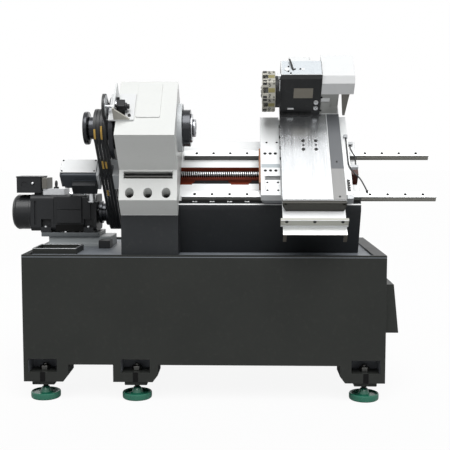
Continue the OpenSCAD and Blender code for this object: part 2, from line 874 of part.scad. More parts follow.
module encoder_drive_pulley() color("#3b3d3f")
    on_slope() disc_x(spindle_u, spindle_w, timing_x, 2 * timing_r, timing_w, spindle_rear_d);

module spindle_collar() color("#1d1e20")
    on_slope() about_x(spindle_u, spindle_w, collar_x)
        rotate_extrude()
            polygon([[spindle_rear_d / 2, 0], [collar_d / 2 - 3, 0], [collar_d / 2, 3], [collar_d / 2, 12],
                [collar_d / 2 - 4, 15], [collar_d / 2 - 4, 20], [collar_d / 2, 23], [collar_d / 2, collar_t - 2],
                [collar_d / 2 - 2, collar_t], [hub_d / 2, collar_t], [hub_d / 2, collar_t + hub_t],
                [spindle_rear_d / 2, collar_t + hub_t]]);

// Spindle motor

module motor_frame() color("#1c1d1e") {
    half = motor_width / 2;
    groove = 9;
    difference() {
        union() {
            translate([frame_x0, motor_y - half, motor_height - half])
                rotate([90, 0, 90]) linear_extrude(motor_length) round_rect(motor_width, motor_width, 22);
            for (x = motor_foot_x)
                translate([x, motor_y - half - motor_foot_side, plate_z])
                    cube([motor_foot_length, motor_width + 2 * motor_foot_side, motor_foot_height]);
        }
        for (x = [frame_x0 + 18, frame_x1 - 30])
            translate([x, motor_y - half - cut, motor_height - half + 30]) cube([12, groove, motor_width - 60]);
        for (x = motor_foot_x, y = [motor_y - half - cut, motor_y + half - motor_pocket_depth])
            translate([x, y, motor_height - half + motor_foot_height - motor_foot_t])
                cube([motor_foot_length, motor_pocket_depth + cut, motor_pocket_height]);
        translate([frame_x0 + panel_inset, motor_y - half - cut, motor_height + half - panel_drop - panel_height])
            cube([panel_length, 4 + cut, panel_height]);
        disc_x(motor_y, motor_height, frame_x1 - 60, motor_shaft_d + 2 * run_gap, 60 + cut);
    }
}

module motor_fan_cowl() color("#242526")
    difference() {
        about_x(motor_y, motor_height, motor_x0)
            rotate_extrude()
                polygon([[0, 0], [cowl_d / 2 - 10, 0], [cowl_d / 2, 10], [cowl_d / 2, cowl_length], [0, cowl_length]]);
        for (a = [0 : 30 : 330])
            about_x(motor_y, motor_height, motor_x0 - cut) rotate(a)
                translate([cowl_d * 0.2, -4, 0]) cube([cowl_d * 0.2, 8, 7]);
    }

module motor_terminal_box() color("#2a2b2c")
    translate([motor_x0 + 22, motor_y - 70, motor_top + terminal_gap])
        difference() {
            union() {
                linear_extrude(terminal_height - lid_t) round_rect(terminal_length, terminal_depth, 8);
                translate([-lid_lap, -lid_lap, terminal_height - lid_t])
                    linear_extrude(lid_t) round_rect(terminal_length + 2 * lid_lap, terminal_depth + 2 * lid_lap, 8);
                translate([terminal_length - 42, 25, -terminal_gap]) cube([40, 80, terminal_gap + cut]);
            }
            translate([40, -cut, 40]) rotate([-90, 0, 0]) cylinder(d = 30, h = 4);
            translate([82, -cut, 47]) rotate([-90, 0, 0]) cylinder(d = 19, h = 9);
        }

module motor_lifting_eye() color("#9a9d9e")
    translate([0, motor_y, motor_top]) {
        translate([pad_x0, -pad_depth / 2, 0]) linear_extrude(pad_rise) round_rect(pad_length, pad_depth, 6);
        translate([frame_x0 + 116, -20, pad_rise - cut]) {
            cylinder(d = 26, h = 8 + cut);
            translate([0, 0, 8 + cut + eye_r]) rotate([90, 0, 90])
                rotate_extrude() translate([eye_r, 0]) circle(d = 9, $fn = 32);
        }
    }

module motor_plate() color("#4b4f50")
    translate([frame_x0 + 54, motor_y - motor_width / 2 - 12, plate_z - motor_plate_t])
        linear_extrude(motor_plate_t) round_rect(motor_plate_length, motor_width + 24, 6);

module motor_block() color("#8f9594")
    difference() {
        union() {
            translate([block_x0, motor_y - motor_width / 2, pan_z])
                cube([block_length_x, motor_width, block_h]);
            translate([block_x0, motor_y - motor_width / 2 - block_flange, pan_z])
                cube([block_length_x, motor_width + 2 * block_flange, 18]);
        }
        translate([block_x0 + block_wall, motor_y - motor_width / 2 + block_wall, pan_z - cut])
            cube([block_length_x - 2 * block_wall, motor_width - 2 * block_wall, block_h - 18 + cut]);
    }

module motor_shaft() color("#b5b8ba")
    disc_x(motor_y, motor_height, frame_x1 - 59, motor_shaft_d, pulley_x + pulley_w + 4 - frame_x1 + 59);

module motor_pulley() color("#26282a")
    about_x(motor_y, motor_height, pulley_x) grooved_pulley(motor_pulley_d, motor_shaft_d);

// Z drive

module square_block(u, w, side, x0, x1, r) {
    translate([0, u - side / 2, w - side / 2]) along_x(x0, x1) round_rect(side, side, r);
}

module z_servo_motor() color("#2b2c2e")
    on_slope() {
        x0 = z_servo_x1 - z_servo_length;
        low_u = z_screw_u - z_servo_width / 2;
        square_block(z_screw_u, z_screw_w, z_servo_width - 6, x0, z_servo_x1 - z_flange_t, 8);
        square_block(z_screw_u, z_screw_w, z_servo_width, z_servo_x1 - z_flange_t, z_servo_x1, 6);
        square_block(z_screw_u, z_screw_w, z_servo_width - 14, x0 - z_tail_length, x0, 10);
        translate([z_servo_x1 - plug_box_length - 2, low_u + 8, z_screw_w - plug_box_height + 12])
            rotate([90, 0, 0]) linear_extrude(plug_box_drop + 8) round_rect(plug_box_length, plug_box_height, 5);
    }

module z_motor_bracket() color("#8a8d8c")
    on_slope() difference() {
        union() {
            square_block(z_screw_u, z_screw_w, z_servo_width, hs_x0 - housing_t, hs_x0, 4);
            square_block(z_screw_u, z_screw_w, z_servo_width, loop_left - end_plate_t, loop_left, 4);
            translate([loop_left - cut, z_screw_u + z_servo_width / 2 - arm_w, z_screw_w - z_servo_width / 2])
                cube([hs_x0 - housing_t - loop_left + 2 * cut, arm_w, z_servo_width]);
        }
        disc_x(z_screw_u, z_screw_w, loop_left - end_plate_t - cut, z_shaft_d + 2 * slide_gap, end_plate_t + 2 * cut);
        disc_x(z_screw_u, z_screw_w, hs_x0 - housing_t - cut, z_shaft_d + 2 * run_gap, housing_t + 2 * cut);
    }

module z_end_bearing() color("#7c3a2c")
    on_slope() difference() {
        translate([bed_x1 - end_bearing_t, z_screw_u - end_bearing_side / 2 + 4, -channel_depth])
            cube([end_bearing_t, channel_high - z_screw_u + end_bearing_side / 2 - 4, end_bearing_side]);
        disc_x(z_screw_u, z_screw_w, bed_x1 - end_bearing_t - cut, z_shaft_d + 2 * run_gap, end_bearing_t + 2 * cut);
    }

module z_screw() color("#b9bcbe")
    on_slope() {
        disc_x(z_screw_u, z_screw_w, z_servo_x1, z_shaft_d, bed_x1 - z_servo_x1);
        disc_x(z_screw_u, z_screw_w, hs_x0 + 6, z_screw_d, bed_x1 - end_bearing_t - 6 - hs_x0 - 6);
    }

// Carriage on the bed rails

module saddle() color("#c6c9c8")
    on_slope() difference() {
        translate([sad_x0, -saddle_toe_length, saddle_seat])
            cube([sad_x1 - sad_x0, saddle_toe_length + saddle_head_length, wing_top - saddle_seat]);
        translate([slide_x0 - slide_side_gap, -saddle_toe_length - cut, trough_floor])
            cube([slide_w + 2 * slide_side_gap, saddle_toe_length + saddle_head_length + 2 * cut, wing_top]);
        translate([sad_x0 + 20, 30, wing_top - 8]) cube([left_wing, 26, 8 + cut]);
        translate([sad_x0 - cut, 124, wing_top - 3]) cube([left_wing + 2 * cut, saddle_head_length, 3 + cut]);
        for (u = [89, 201], x = [21, 45, 69])
            translate([sad_x0 + x, u, wing_top - 14]) cylinder(d = 16, h = 14 + cut);
        for (u = [-33, 15, 274], x = [29, 77])
            translate([sad_x0 + x, u, wing_top - 14]) cylinder(d = 11, h = 14 + cut);
    }

module z_guide_blocks() color("#9da1a3")
    on_slope() for (u = [0, rail_spacing], x = saddle_ends)
        translate([0, u, 0]) along_x(x, x + block_length)
            block_outline(block_w, 7, saddle_seat, rail_w, rail_h);

module wiper_strip() color("#b5734f")
    on_slope() translate([sad_x0 - 8, 22, rail_h + 3])
        cube([8, rail_spacing - 44, wing_top - rail_h - 12]);

module z_nut() color("#a8abad")
    on_slope() difference() {
        union() {
            disc_x(z_screw_u, z_screw_w, nut_x, 2 * nut_r, nut_t);
            translate([nut_x, z_screw_u - nut_r, z_screw_w]) cube([nut_t, 2 * nut_r, saddle_seat - z_screw_w]);
        }
        disc_x(z_screw_u, z_screw_w, nut_x - cut, z_screw_d + 2 * run_gap, nut_t + 2 * cut);
    }

module x_rails() color("#c9ccce")
    on_slope() for (x = [slide_x0 + x_rail_inset, slide_x1 - x_rail_inset])
        translate([x, x_rail_u0 + x_rail_length, trough_floor])
            rotate([90, 0, 0]) linear_extrude(x_rail_length) rail_outline(x_rail_w, x_rail_h);

module x_motor_bracket() color("#8a8d8c")
    on_slope() {
        tray = 120;
        screw_hole = 16 + 2 * run_gap;
        difference() {
            union() {
                translate([x_axis - tray / 2, saddle_head_length, saddle_seat])
                    cube([tray, x_bracket_u1 - saddle_head_length, trough_floor - saddle_seat - 4]);
                translate([x_axis - x_bearing_w / 2, saddle_head_length, trough_floor - 4 - cut])
                    cube([x_bearing_w, x_bearing_t, x_bearing_h + cut]);
                translate([x_axis - x_servo_width / 2, x_bracket_u1, x_screw_w - x_servo_width / 2])
                    cube([x_servo_width, x_plate_t, x_servo_width]);
            }
            translate([x_axis, saddle_head_length - cut, x_screw_w]) rotate([-90, 0, 0])
                cylinder(d = screw_hole, h = x_bracket_u1 - saddle_head_length + x_plate_t + 2 * cut);
        }
    }

module x_servo_motor() color("#dcdedc")
    on_slope() translate([x_axis - x_servo_width / 2, x_bracket_u1 + x_plate_t + x_servo_length, x_screw_w - x_servo_width / 2])
        rotate([90, 0, 0]) {
            linear_extrude(x_servo_length) round_rect(x_servo_width, x_servo_width, 8);
            translate([x_tail_inset, x_tail_inset, -x_tail_length]) linear_extrude(x_tail_length)
                round_rect(x_servo_width - 2 * x_tail_inset, x_servo_width - 2 * x_tail_inset, 12);
        }

module x_screw() color("#b9bcbe")
    on_slope() translate([x_axis, 0, x_screw_w]) rotate([-90, 0, 0]) {
        translate([0, 0, x_rail_u0 + 10]) cylinder(d = x_screw_d, h = saddle_head_length - x_rail_u0 - 16);
        translate([0, 0, saddle_head_length - 8]) cylinder(d = 16, h = x_bracket_u1 + x_plate_t - saddle_head_length + 8);
    }

module lower_way_cover() color("#c2c5c6")
    on_slope() {
        x0 = slide_x0 + 2;
        translate([x0, -low_cover_end, low_w])
            cube([slide_w, low_cover_end - saddle_toe_length, cover_sheet]);
        for (x = [x0, x0 + slide_w - 16])
            translate([x, -low_cover_end, low_w - low_cover_lip]) cube([16, cover_sheet, low_cover_lip + cut]);
        translate([x0, -saddle_toe_length - cover_sheet, low_w]) cube([slide_w, cover_sheet, 16]);
    }

// Small block with round corners that holds a tube end
module tube_fitting(x, u, w, length) {
    translate([x, u, w - 9]) linear_extrude(18) round_rect(length, 16, 3);
}

module oil_manifold() color("#a3a6a4")
    on_slope() {
        translate([long_tube[0] - 10, long_tube[1], wing_top]) linear_extrude(tube_d + 4) round_rect(19, 18, 4);
        tube_fitting(sad_x1, short_tube[1], short_tube[2], 24);
        tube_fitting(sad_x1, short_tube_end - 16, short_tube[2], 38);
        translate([sad_x1 - 28, -saddle_toe_length - 20, saddle_seat])
            linear_extrude(wing_top - saddle_seat) round_rect(28, 20, 3);
    }

// Thin tube in straight runs from point to point, with a ball elbow at each bend
module tube_runs(points) {
    last = len(points) - 1;
    for (i = [0 : last - 1]) {
        run = points[i + 1] - points[i];
        translate(points[i]) rotate(atan2(run[1], run[0])) rotate([0, 90, 0])
            cylinder(d = tube_d, h = norm(run));
    }
    for (i = [1 : last - 1])
        translate(points[i]) sphere(d = elbow_d);
}

module oil_tubes() color("#3a3c3c")
    on_slope() {
        translate(long_tube) tube_runs(long_tube_path);
        translate(short_tube) tube_runs(short_tube_path);
    }

// Cross slide

module cross_slide() color("#b4b7b8")
    on_slope() translate([slide_x0, slide_head_length, slide_bottom]) rotate([90, 0, 0])
        linear_extrude(slide_toe_length + slide_head_length)
            polygon([[slide_chamfer, 0], [slide_w - slide_chamfer, 0], [slide_w, slide_chamfer], [slide_w, slide_t],
                [0, slide_t], [0, slide_chamfer]]);

module x_guide_blocks() color("#9da1a3")
    on_slope() for (x = [slide_x0 + x_rail_inset, slide_x1 - x_rail_inset], u = x_block_u)
        translate([x, u + x_block_length, trough_floor])
            rotate([90, 0, 0]) linear_extrude(x_block_length)
                block_outline(x_block_w, 5, slide_bottom - trough_floor, x_rail_w, x_rail_h);

module x_nut() color("#a8abad")
    on_slope() difference() {
        translate([x_axis - x_nut_w / 2, x_nut_u, x_screw_w - x_nut_drop])
            cube([x_nut_w, x_nut_t, slide_bottom - x_screw_w + x_nut_drop]);
        translate([x_axis, x_nut_u - cut, x_screw_w]) rotate([-90, 0, 0])
            cylinder(d = x_screw_d + 2 * run_gap, h = x_nut_t + 2 * cut);
    }

module slide_cover() color("#d2d5d7")
    on_slope() difference() {
        translate([slide_x0, -slide_toe_length + 2, slide_top])
            cube([cover_w, slide_toe_length + housing_u0 - 4, cover_t]);
        for (x = cover_hole_x, i = [-1 : 1])
            translate([slide_x0 + x, cover_hole_u + i * cover_hole_pitch, slide_top - cut])
                cylinder(d = i == 0 ? small_hole_d : large_hole_d, h = cover_t + 2 * cut);
    }

module slide_side_strip() color("#6d7072")
    on_slope() translate([slide_x1 - strip_w, -slide_toe_length + 2, slide_top])
        cube([strip_w, slide_toe_length + housing_u0 - 4, cover_t]);

module slide_end_plate() color("#8d8c86")
    on_slope() difference() {
        low = mid_w + cover_sheet + 2;
        high = slide_top - 6;
        translate([slide_x0, -slide_toe_length, 0]) rotate([90, 0, 0])
            linear_extrude(12)
                polygon([[16, low], [slide_w - 8, low], [slide_w, high - 20], [slide_w, high], [0, high], [0, high - 20]]);
        for (x = [slide_x0 + 14, slide_x1 - 12])
            translate([x, -slide_toe_length - 12 - cut, slide_top - 14]) rotate([-90, 0, 0]) cylinder(d = 10, h = 6);
    }

module upper_way_cover() color("#c2c5c6")
    on_slope() {
        bar_u = mid_cover_u - mid_cover_length - mid_bar_t;
        translate([slide_x0 + 2, bar_u + mid_bar_t - cut, mid_w]) cube([slide_w - 4, mid_cover_length + cut, cover_sheet]);
        difference() {
            translate([slide_x0 - bar_side, bar_u, mid_bar_low]) cube([slide_w + 2 * bar_side, mid_bar_t, mid_bar_top - mid_bar_low]);
            for (x = [slide_x0 + 18, slide_mid, slide_x1 - 18])
                translate([x, bar_u - cut, mid_bar_top - 12]) rotate([-90, 0, 0]) cylinder(d = 11, h = 6);
        }
    }

// Turret

module turret_housing_outline() {
    polygon([[housing_u0, slide_top], [housing_u0, housing_top - housing_chamfer],
        [housing_u0 + housing_chamfer, housing_top], [housing_u1, housing_top], [housing_u1, slide_top]]);
}

module turret_housing() color("#3d3f40")
    on_slope() difference() {
        union() {
            along_x(slide_x0, slide_x0 + housing_length) turret_housing_outline();
            disc_x(turret_distance, spindle_w, turret_x1 + slide_gap, neck_d, neck_t - slide_gap + cut);
        }
        disc_x(turret_distance, spindle_w, turret_x1 - cut, turret_shaft_d + 2 * run_gap, neck_t + 70);
    }

module turret_sight_glasses() color("#e6e8e6")
    on_slope() for (w = sight_w)
        translate([slide_x0 + housing_length - 21, housing_u0, w])
            rotate([90, 0, 0]) cylinder(d = 21, h = 5);

module motor_cover_outline(inset) {
    i = inset;
    polygon([[housing_u0 + i, mc_low + i], [housing_u0 + i, mc_high - mc_chamfer - i * 0.4],
        [housing_u0 + mc_chamfer + i * 0.4, mc_high - i], [mc_back - i, mc_high - i], [mc_back - i, mc_low + i]]);
}

module turret_motor_cover() color("#cfd1cf")
    on_slope() difference() {
        along_x(cover_x0, mc_x1) motor_cover_outline(0);
        along_x(cover_x0 + sheet_t, mc_x1 - sheet_t) motor_cover_outline(sheet_t);
        translate([cover_x0 - cut, gear_u0 - slide_gap, mc_low - cut])
            cube([gear_x1 - cover_x0 + slide_gap + cut, gear_depth + 2 * slide_gap, sheet_t + gear_rise + cut]);
    }

module turret_gear_housing() color("#9b9d99")
    on_slope() difference() {
        translate([cover_x0, gear_u0, slide_top])
            cube([gear_x1 - cover_x0, gear_depth, mc_low + gear_rise - slide_top]);
        translate([cover_x0 + 42, gear_u0 - cut, 185]) cube([38, 4 + cut, 50]);
    }

module cable_duct() color("#4a4b48")
    on_slope() translate([mc_x1 - 38, housing_u0 + 30, 0])
        rotate([90, 0, 0])
            linear_extrude(26)
                polygon([[-18, mc_low], [20, mc_low], [8, 136], [-3, 136]]);

module turret_disc() color("#8c8a80")
    on_slope() about_x(turret_distance, spindle_w, turret_x0) {
        difference() {
            rotate(180 / stations) cylinder(d = turret_d, h = turret_t, $fn = stations);
            for (i = [0 : stations - 1])
                rotate(i * 360 / stations)
                    translate([slot_floor, -slot_w / 2, -cut]) cube([turret_d, slot_w, slot_depth + cut]);
        }
        translate([0, 0, turret_t - cut]) cylinder(d = turret_shaft_d, h = neck_t + 60);
    }

module tool_wedges() color("#55554f")
    on_slope() about_x(turret_distance, spindle_w, turret_x0)
        for (i = [0 : stations - 1])
            rotate(i * 360 / stations) {
                translate([slot_floor, -slot_w / 2, slot_depth - 12]) cube([36, slot_w, 12]);
                for (r = [58, 74])
                    translate([r, 0, slot_depth - 20]) cylinder(d = 11, h = 9);
            }

base_casting();
chip_hood();
levelling_pads();
levelling_studs();
slant_bed();
bed_rails();
headstock();
headstock_cover();
headstock_bolts();
spindle_bearings();
front_bearing_cap();
rear_bearing_cap();
encoder_bracket();
encoder_body();
encoder_belt();
drive_belts();
motor_frame();
motor_fan_cowl();
motor_terminal_box();
motor_lifting_eye();
motor_plate();
motor_block();
z_servo_motor();
z_motor_bracket();
z_end_bearing();
spindle();
spindle_pulley();
spindle_collar();
encoder_drive_pulley();
motor_shaft();
motor_pulley();
encoder_pulley();
z_screw();
saddle();
z_guide_blocks();
wiper_strip();
z_nut();
x_rails();
x_motor_bracket();
x_servo_motor();
lower_way_cover();
oil_manifold();
oil_tubes();
x_screw();
cross_slide();
x_guide_blocks();
x_nut();
slide_cover();
slide_side_strip();
slide_end_plate();
turret_housing();
turret_sight_glasses();
turret_motor_cover();
turret_gear_housing();
cable_duct();
upper_way_cover();
turret_disc();
tool_wedges();
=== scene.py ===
import json
import math

import bmesh
import bpy
from mathutils import Matrix, Vector


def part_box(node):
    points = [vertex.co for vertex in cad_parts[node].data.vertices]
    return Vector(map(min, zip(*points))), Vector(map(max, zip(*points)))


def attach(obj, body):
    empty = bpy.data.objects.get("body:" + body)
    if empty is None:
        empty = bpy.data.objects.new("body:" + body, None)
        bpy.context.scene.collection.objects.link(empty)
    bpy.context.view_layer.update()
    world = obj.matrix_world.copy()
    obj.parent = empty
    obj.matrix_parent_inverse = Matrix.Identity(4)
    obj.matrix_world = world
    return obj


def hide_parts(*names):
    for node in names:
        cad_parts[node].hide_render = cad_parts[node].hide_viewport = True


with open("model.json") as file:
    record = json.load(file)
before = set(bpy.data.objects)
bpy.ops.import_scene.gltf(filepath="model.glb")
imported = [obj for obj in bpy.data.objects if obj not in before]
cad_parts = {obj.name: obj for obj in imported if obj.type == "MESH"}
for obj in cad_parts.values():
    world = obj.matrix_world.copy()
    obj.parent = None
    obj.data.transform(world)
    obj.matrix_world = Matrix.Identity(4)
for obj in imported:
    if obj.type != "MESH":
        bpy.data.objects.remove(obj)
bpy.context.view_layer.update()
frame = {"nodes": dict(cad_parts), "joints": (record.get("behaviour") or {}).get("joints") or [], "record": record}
nodes = frame["nodes"]
joint_at = {j["name"]: Vector(j["pos_m"]) for j in frame["joints"] if "pos_m" in j}


# Studio
# The machine stands on a plain white floor under one broad overhead light, with soft fill from the front.
# The camera stands almost square to the front, a little above the rails, and looks slightly down.
scene = bpy.context.scene
scene.view_settings.view_transform = "Standard"


def placed(name, data):
    thing = bpy.data.objects.new(name, data)
    scene.collection.objects.link(thing)
    return thing


def mesh_of(bm, name):
    mesh = bpy.data.meshes.new(name)
    bm.to_mesh(mesh)
    bm.free()
    return mesh


def new_finish(name):
    finish = bpy.data.materials.new(name)
    finish.use_nodes = True
    return finish, finish.node_tree, finish.node_tree.nodes["Principled BSDF"]


def feed(tree, socket, value):
    if isinstance(value, bpy.types.NodeSocket):
        tree.links.new(value, socket)
    else:
        socket.default_value = value


def maths(tree, operation, first, second):
    node = tree.nodes.new("ShaderNodeMath")
    node.operation = operation
    feed(tree, node.inputs[0], first)
    feed(tree, node.inputs[1], second)
    return node.outputs[0]


def mixed_shader(tree, factor, first, second, output):
    mix = tree.nodes.new("ShaderNodeMixShader")
    for socket, value in zip(mix.inputs, (factor, first, second)):
        tree.links.new(value, socket)
    tree.links.new(mix.outputs[0], output.inputs["Surface"])


camera_data = bpy.data.cameras.new("photo_camera")
camera_data.lens = 68.0
camera_data.sensor_width = 36.0
camera = placed("photo_camera", camera_data)
camera.location = (0.1475, -4.1105, 1.153)
camera.rotation_euler = (math.radians(84.825), 0.0, math.radians(1.348))
scene.camera = camera

sun_data = bpy.data.lights.new("overhead_light", "SUN")
sun_data.energy = 3.5
sun_data.angle = math.radians(50.0)
sun = placed("overhead_light", sun_data)
sun.rotation_euler = (math.radians(33.0), math.radians(4.0), 0.0)
for name, place, target, size, watts in (
    ("front_fill", (-1.6, -4.2, 2.4), (0.0, 0.0, 0.8), 2.6, 5.0),
    ("right_fill", (3.4, -1.6, 2.6), (0.0, 0.0, 0.9), 2.2, 6.0),
    ("back_light", (-0.8, 3.6, 2.8), (0.0, 0.0, 0.9), 2.4, 20.0),
):
    lamp_data = bpy.data.lights.new(name, "AREA")
    lamp_data.size = size
    lamp_data.energy = watts
    lamp = placed(name, lamp_data)
    lamp.location = place
    lamp.rotation_euler = (Vector(target) - Vector(place)).to_track_quat("-Z", "Y").to_euler()

world = bpy.data.worlds.new("white_studio")
scene.world = world
world.use_nodes = True
sky = world.node_tree
sky.nodes.clear()
sky_ray = sky.nodes.new("ShaderNodeLightPath")
straight = maths(sky, "MAXIMUM", sky_ray.outputs["Is Camera Ray"], sky_ray.outputs["Is Transmission Ray"])
seen = maths(sky, "MAXIMUM", straight, sky_ray.outputs["Is Glossy Ray"])
shades = []
for colour, strength in (((0.93, 0.96, 1.0, 1.0), 0.2), ((1.0, 1.0, 1.0, 1.0), 1.0)):
    shade = sky.nodes.new("ShaderNodeBackground")
    shade.inputs["Color"].default_value = colour
    shade.inputs["Strength"].default_value = strength
    shades.append(shade.outputs[0])
mixed_shader(sky, seen, shades[0], shades[1], sky.nodes.new("ShaderNodeOutputWorld"))

floor_bm = bmesh.new()
bmesh.ops.create_grid(floor_bm, x_segments=1, y_segments=1, size=40.0)
floor = placed("studio_floor", mesh_of(floor_bm, "studio_floor"))
floor_finish, floor_tree, floor_shader = new_finish("studio_floor")
floor_shader.inputs["Base Color"].default_value = (0.42, 0.42, 0.42, 1.0)
floor_shader.inputs["Roughness"].default_value = 0.8
floor_glow = floor_tree.nodes.new("ShaderNodeEmission")
floor_glow.inputs["Strength"].default_value = 1.06
floor_ray = floor_tree.nodes.new("ShaderNodeLightPath")
floor_share = maths(floor_tree, "MULTIPLY", floor_ray.outputs["Is Camera Ray"], 0.86)
mixed_shader(floor_tree, floor_share, floor_shader.outputs[0], floor_glow.outputs[0],
             floor_tree.nodes["Material Output"])
floor.data.materials.append(floor_finish)


# Base casting
# A heavy box casting with a shallow chip deck, three foot brackets along each long side and a raised collar
# round the well, sprayed in black paint that keeps the slight orange peel of a thick coat.
def move(x, y, z):
    return Matrix.Translation((x, y, z))


def rotate(degrees, axis):
    return Matrix.Rotation(math.radians(degrees), 4, axis)


UPRIGHT = Matrix()
SLOPE = move(0.0, -0.204996, 0.9225) @ rotate(45.0, "X")


def group_node(name, inputs, outputs):
    group = bpy.data.node_groups.new(name, "ShaderNodeTree")
    for label, kind, value in inputs:
        socket = group.interface.new_socket(label, in_out="INPUT", socket_type=kind)
        if value is not None:
            socket.default_value = value
    for label, kind in outputs:
        group.interface.new_socket(label, in_out="OUTPUT", socket_type=kind)
    return group, group.nodes.new("NodeGroupInput"), group.nodes.new("NodeGroupOutput")


def noise_in(group, vector, scale, detail, roughness=0.55):
    noise = group.nodes.new("ShaderNodeTexNoise")
    noise.inputs["Detail"].default_value = detail
    noise.inputs["Roughness"].default_value = roughness
    group.links.new(vector, noise.inputs["Vector"])
    feed(group, noise.inputs["Scale"], scale)
    return noise.outputs["Fac"]


def ramp_in(group, value, low, high):
    spread = group.nodes.new("ShaderNodeMapRange")
    spread.interpolation_type = "SMOOTHSTEP"
    spread.inputs["From Min"].default_value = low
    spread.inputs["From Max"].default_value = high
    group.links.new(value, spread.inputs["Value"])
    return spread.outputs["Result"]


paint_skin, skin_in, skin_out = group_node(
    "paint_skin",
    [("Vector", "NodeSocketVector", None), ("Peel Scale", "NodeSocketFloat", 220.0)],
    [("Cloud", "NodeSocketFloat"), ("Dust", "NodeSocketFloat"), ("Peel", "NodeSocketFloat")],
)
skin_spot = skin_in.outputs["Vector"]
cloud = noise_in(paint_skin, skin_spot, 3.2, 5.0)
dust = ramp_in(paint_skin, noise_in(paint_skin, skin_spot, 46.0, 8.0, 0.7), 0.5, 0.78)
peel = noise_in(paint_skin, skin_spot, skin_in.outputs["Peel Scale"], 2.0)
for label, value in (("Cloud", cloud), ("Dust", dust), ("Peel", peel)):
    paint_skin.links.new(value, skin_out.inputs[label])


def mixed_colour(tree, factor, first, second, blend="MIX"):
    mix = tree.nodes.new("ShaderNodeMix")
    mix.data_type = "RGBA"
    mix.blend_type = blend
    feed(tree, mix.inputs[0], factor)
    for socket, value in ((mix.inputs[6], first), (mix.inputs[7], second)):
        feed(tree, socket, (*value, 1.0) if isinstance(value, tuple) else value)
    return mix.outputs[2]


def spread_value(tree, factor, low, high):
    spread = tree.nodes.new("ShaderNodeMapRange")
    spread.inputs["To Min"].default_value = low
    spread.inputs["To Max"].default_value = high
    tree.links.new(factor, spread.inputs["Value"])
    return spread.outputs["Result"]


def bumped(tree, height, distance, strength):
    bump = tree.nodes.new("ShaderNodeBump")
    bump.inputs["Distance"].default_value = distance
    bump.inputs["Strength"].default_value = strength
    tree.links.new(height, bump.inputs["Height"])
    tree.links.new(bump.outputs["Normal"], tree.nodes["Principled BSDF"].inputs["Normal"])


def painted(name, dark, light, dust_colour, rough, peel_scale=220.0, peel_depth=0.12, coat=0.0, shine=0.5):
    finish, tree, shader = new_finish(name)
    place = tree.nodes.new("ShaderNodeTexCoord")
    skin = tree.nodes.new("ShaderNodeGroup")
    skin.node_tree = paint_skin
    skin.inputs["Peel Scale"].default_value = peel_scale
    tree.links.new(place.outputs["Object"], skin.inputs["Vector"])
    coat_colour = mixed_colour(tree, skin.outputs["Cloud"], dark, light)
    dusty = maths(tree, "MULTIPLY", skin.outputs["Dust"], 0.3)
    roughness = spread_value(tree, skin.outputs["Cloud"], rough - 0.07, rough + 0.1)
    tree.links.new(mixed_colour(tree, dusty, coat_colour, dust_colour), shader.inputs["Base Color"])
    tree.links.new(roughness, shader.inputs["Roughness"])
    shader.inputs["Coat Weight"].default_value = coat
    shader.inputs["Specular IOR Level"].default_value = shine
    bumped(tree, skin.outputs["Peel"], 0.0008, peel_depth)
    return finish


# On the slope X runs along the bed, Y up the slope and Z out of its face.
def band(finish, letter, low, high, place=SLOPE):
    tree = finish.node_tree
    inverse = place.inverted()
    spot = tree.nodes.new("ShaderNodeTexCoord")
    level = tree.nodes.new("ShaderNodeMapping")
    level.inputs["Rotation"].default_value = inverse.to_euler()
    level.inputs["Location"].default_value = inverse.translation
    split = tree.nodes.new("ShaderNodeSeparateXYZ")
    tree.links.new(spot.outputs["Object"], level.inputs["Vector"])
    tree.links.new(level.outputs["Vector"], split.inputs[0])
    above = maths(tree, "GREATER_THAN", split.outputs[letter], low)
    below = maths(tree, "LESS_THAN", split.outputs[letter], high)
    return maths(tree, "MULTIPLY", above, below)


def overlap(finish, mask, *others):
    for other in others:
        mask = maths(finish.node_tree, "MULTIPLY", mask, other)
    return mask


def recoloured(finish, mask, colour):
    tree = finish.node_tree
    socket = tree.nodes["Principled BSDF"].inputs["Base Color"]
    tree.links.new(mixed_colour(tree, mask, socket.links[0].from_socket, colour), socket)


def dress(material, *names):
    for name in names:
        mesh = nodes[name].data
        mesh.materials.clear()
        mesh.materials.append(material)


def fit_piece(name, bm, material, body, smooth_angle=32.0):
    bmesh.ops.recalc_face_normals(bm, faces=bm.faces)
    for face in bm.faces:
        face.smooth = True
    for edge in bm.edges:
        edge.smooth = len(edge.link_faces) == 2 and edge.calc_face_angle(0.0) < math.radians(smooth_angle)
    piece = placed(name, mesh_of(bm, name))
    piece.data.materials.append(material)
    flats = piece.modifiers.new("flat faces stay flat", "WEIGHTED_NORMAL")
    flats.mode = "FACE_AREA"
    flats.weight = 100
    flats.keep_sharp = True
    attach(piece, body)
    return piece


body_of = {node: body for body, members in frame["record"]["behaviour"]["bodies"].items() for node in members}


def eased_edges(node, material, width):
    bm = bmesh.new()
    bm.from_mesh(nodes[node].data)
    bmesh.ops.remove_doubles(bm, verts=bm.verts, dist=0.00002)
    bmesh.ops.dissolve_limit(bm, angle_limit=math.radians(0.6), verts=bm.verts, edges=bm.edges)
    corners = [e for e in bm.edges if len(e.link_faces) == 2 and e.calc_face_angle(0.0) > math.radians(28.0)]
    bmesh.ops.bevel(bm, geom=corners, offset=width, offset_type="OFFSET", segments=2, profile=0.5,
                    affect="EDGES", clamp_overlap=True, material=-1)
    piece = fit_piece(node + "_eased", bm, material, body_of[node])
    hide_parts(node)


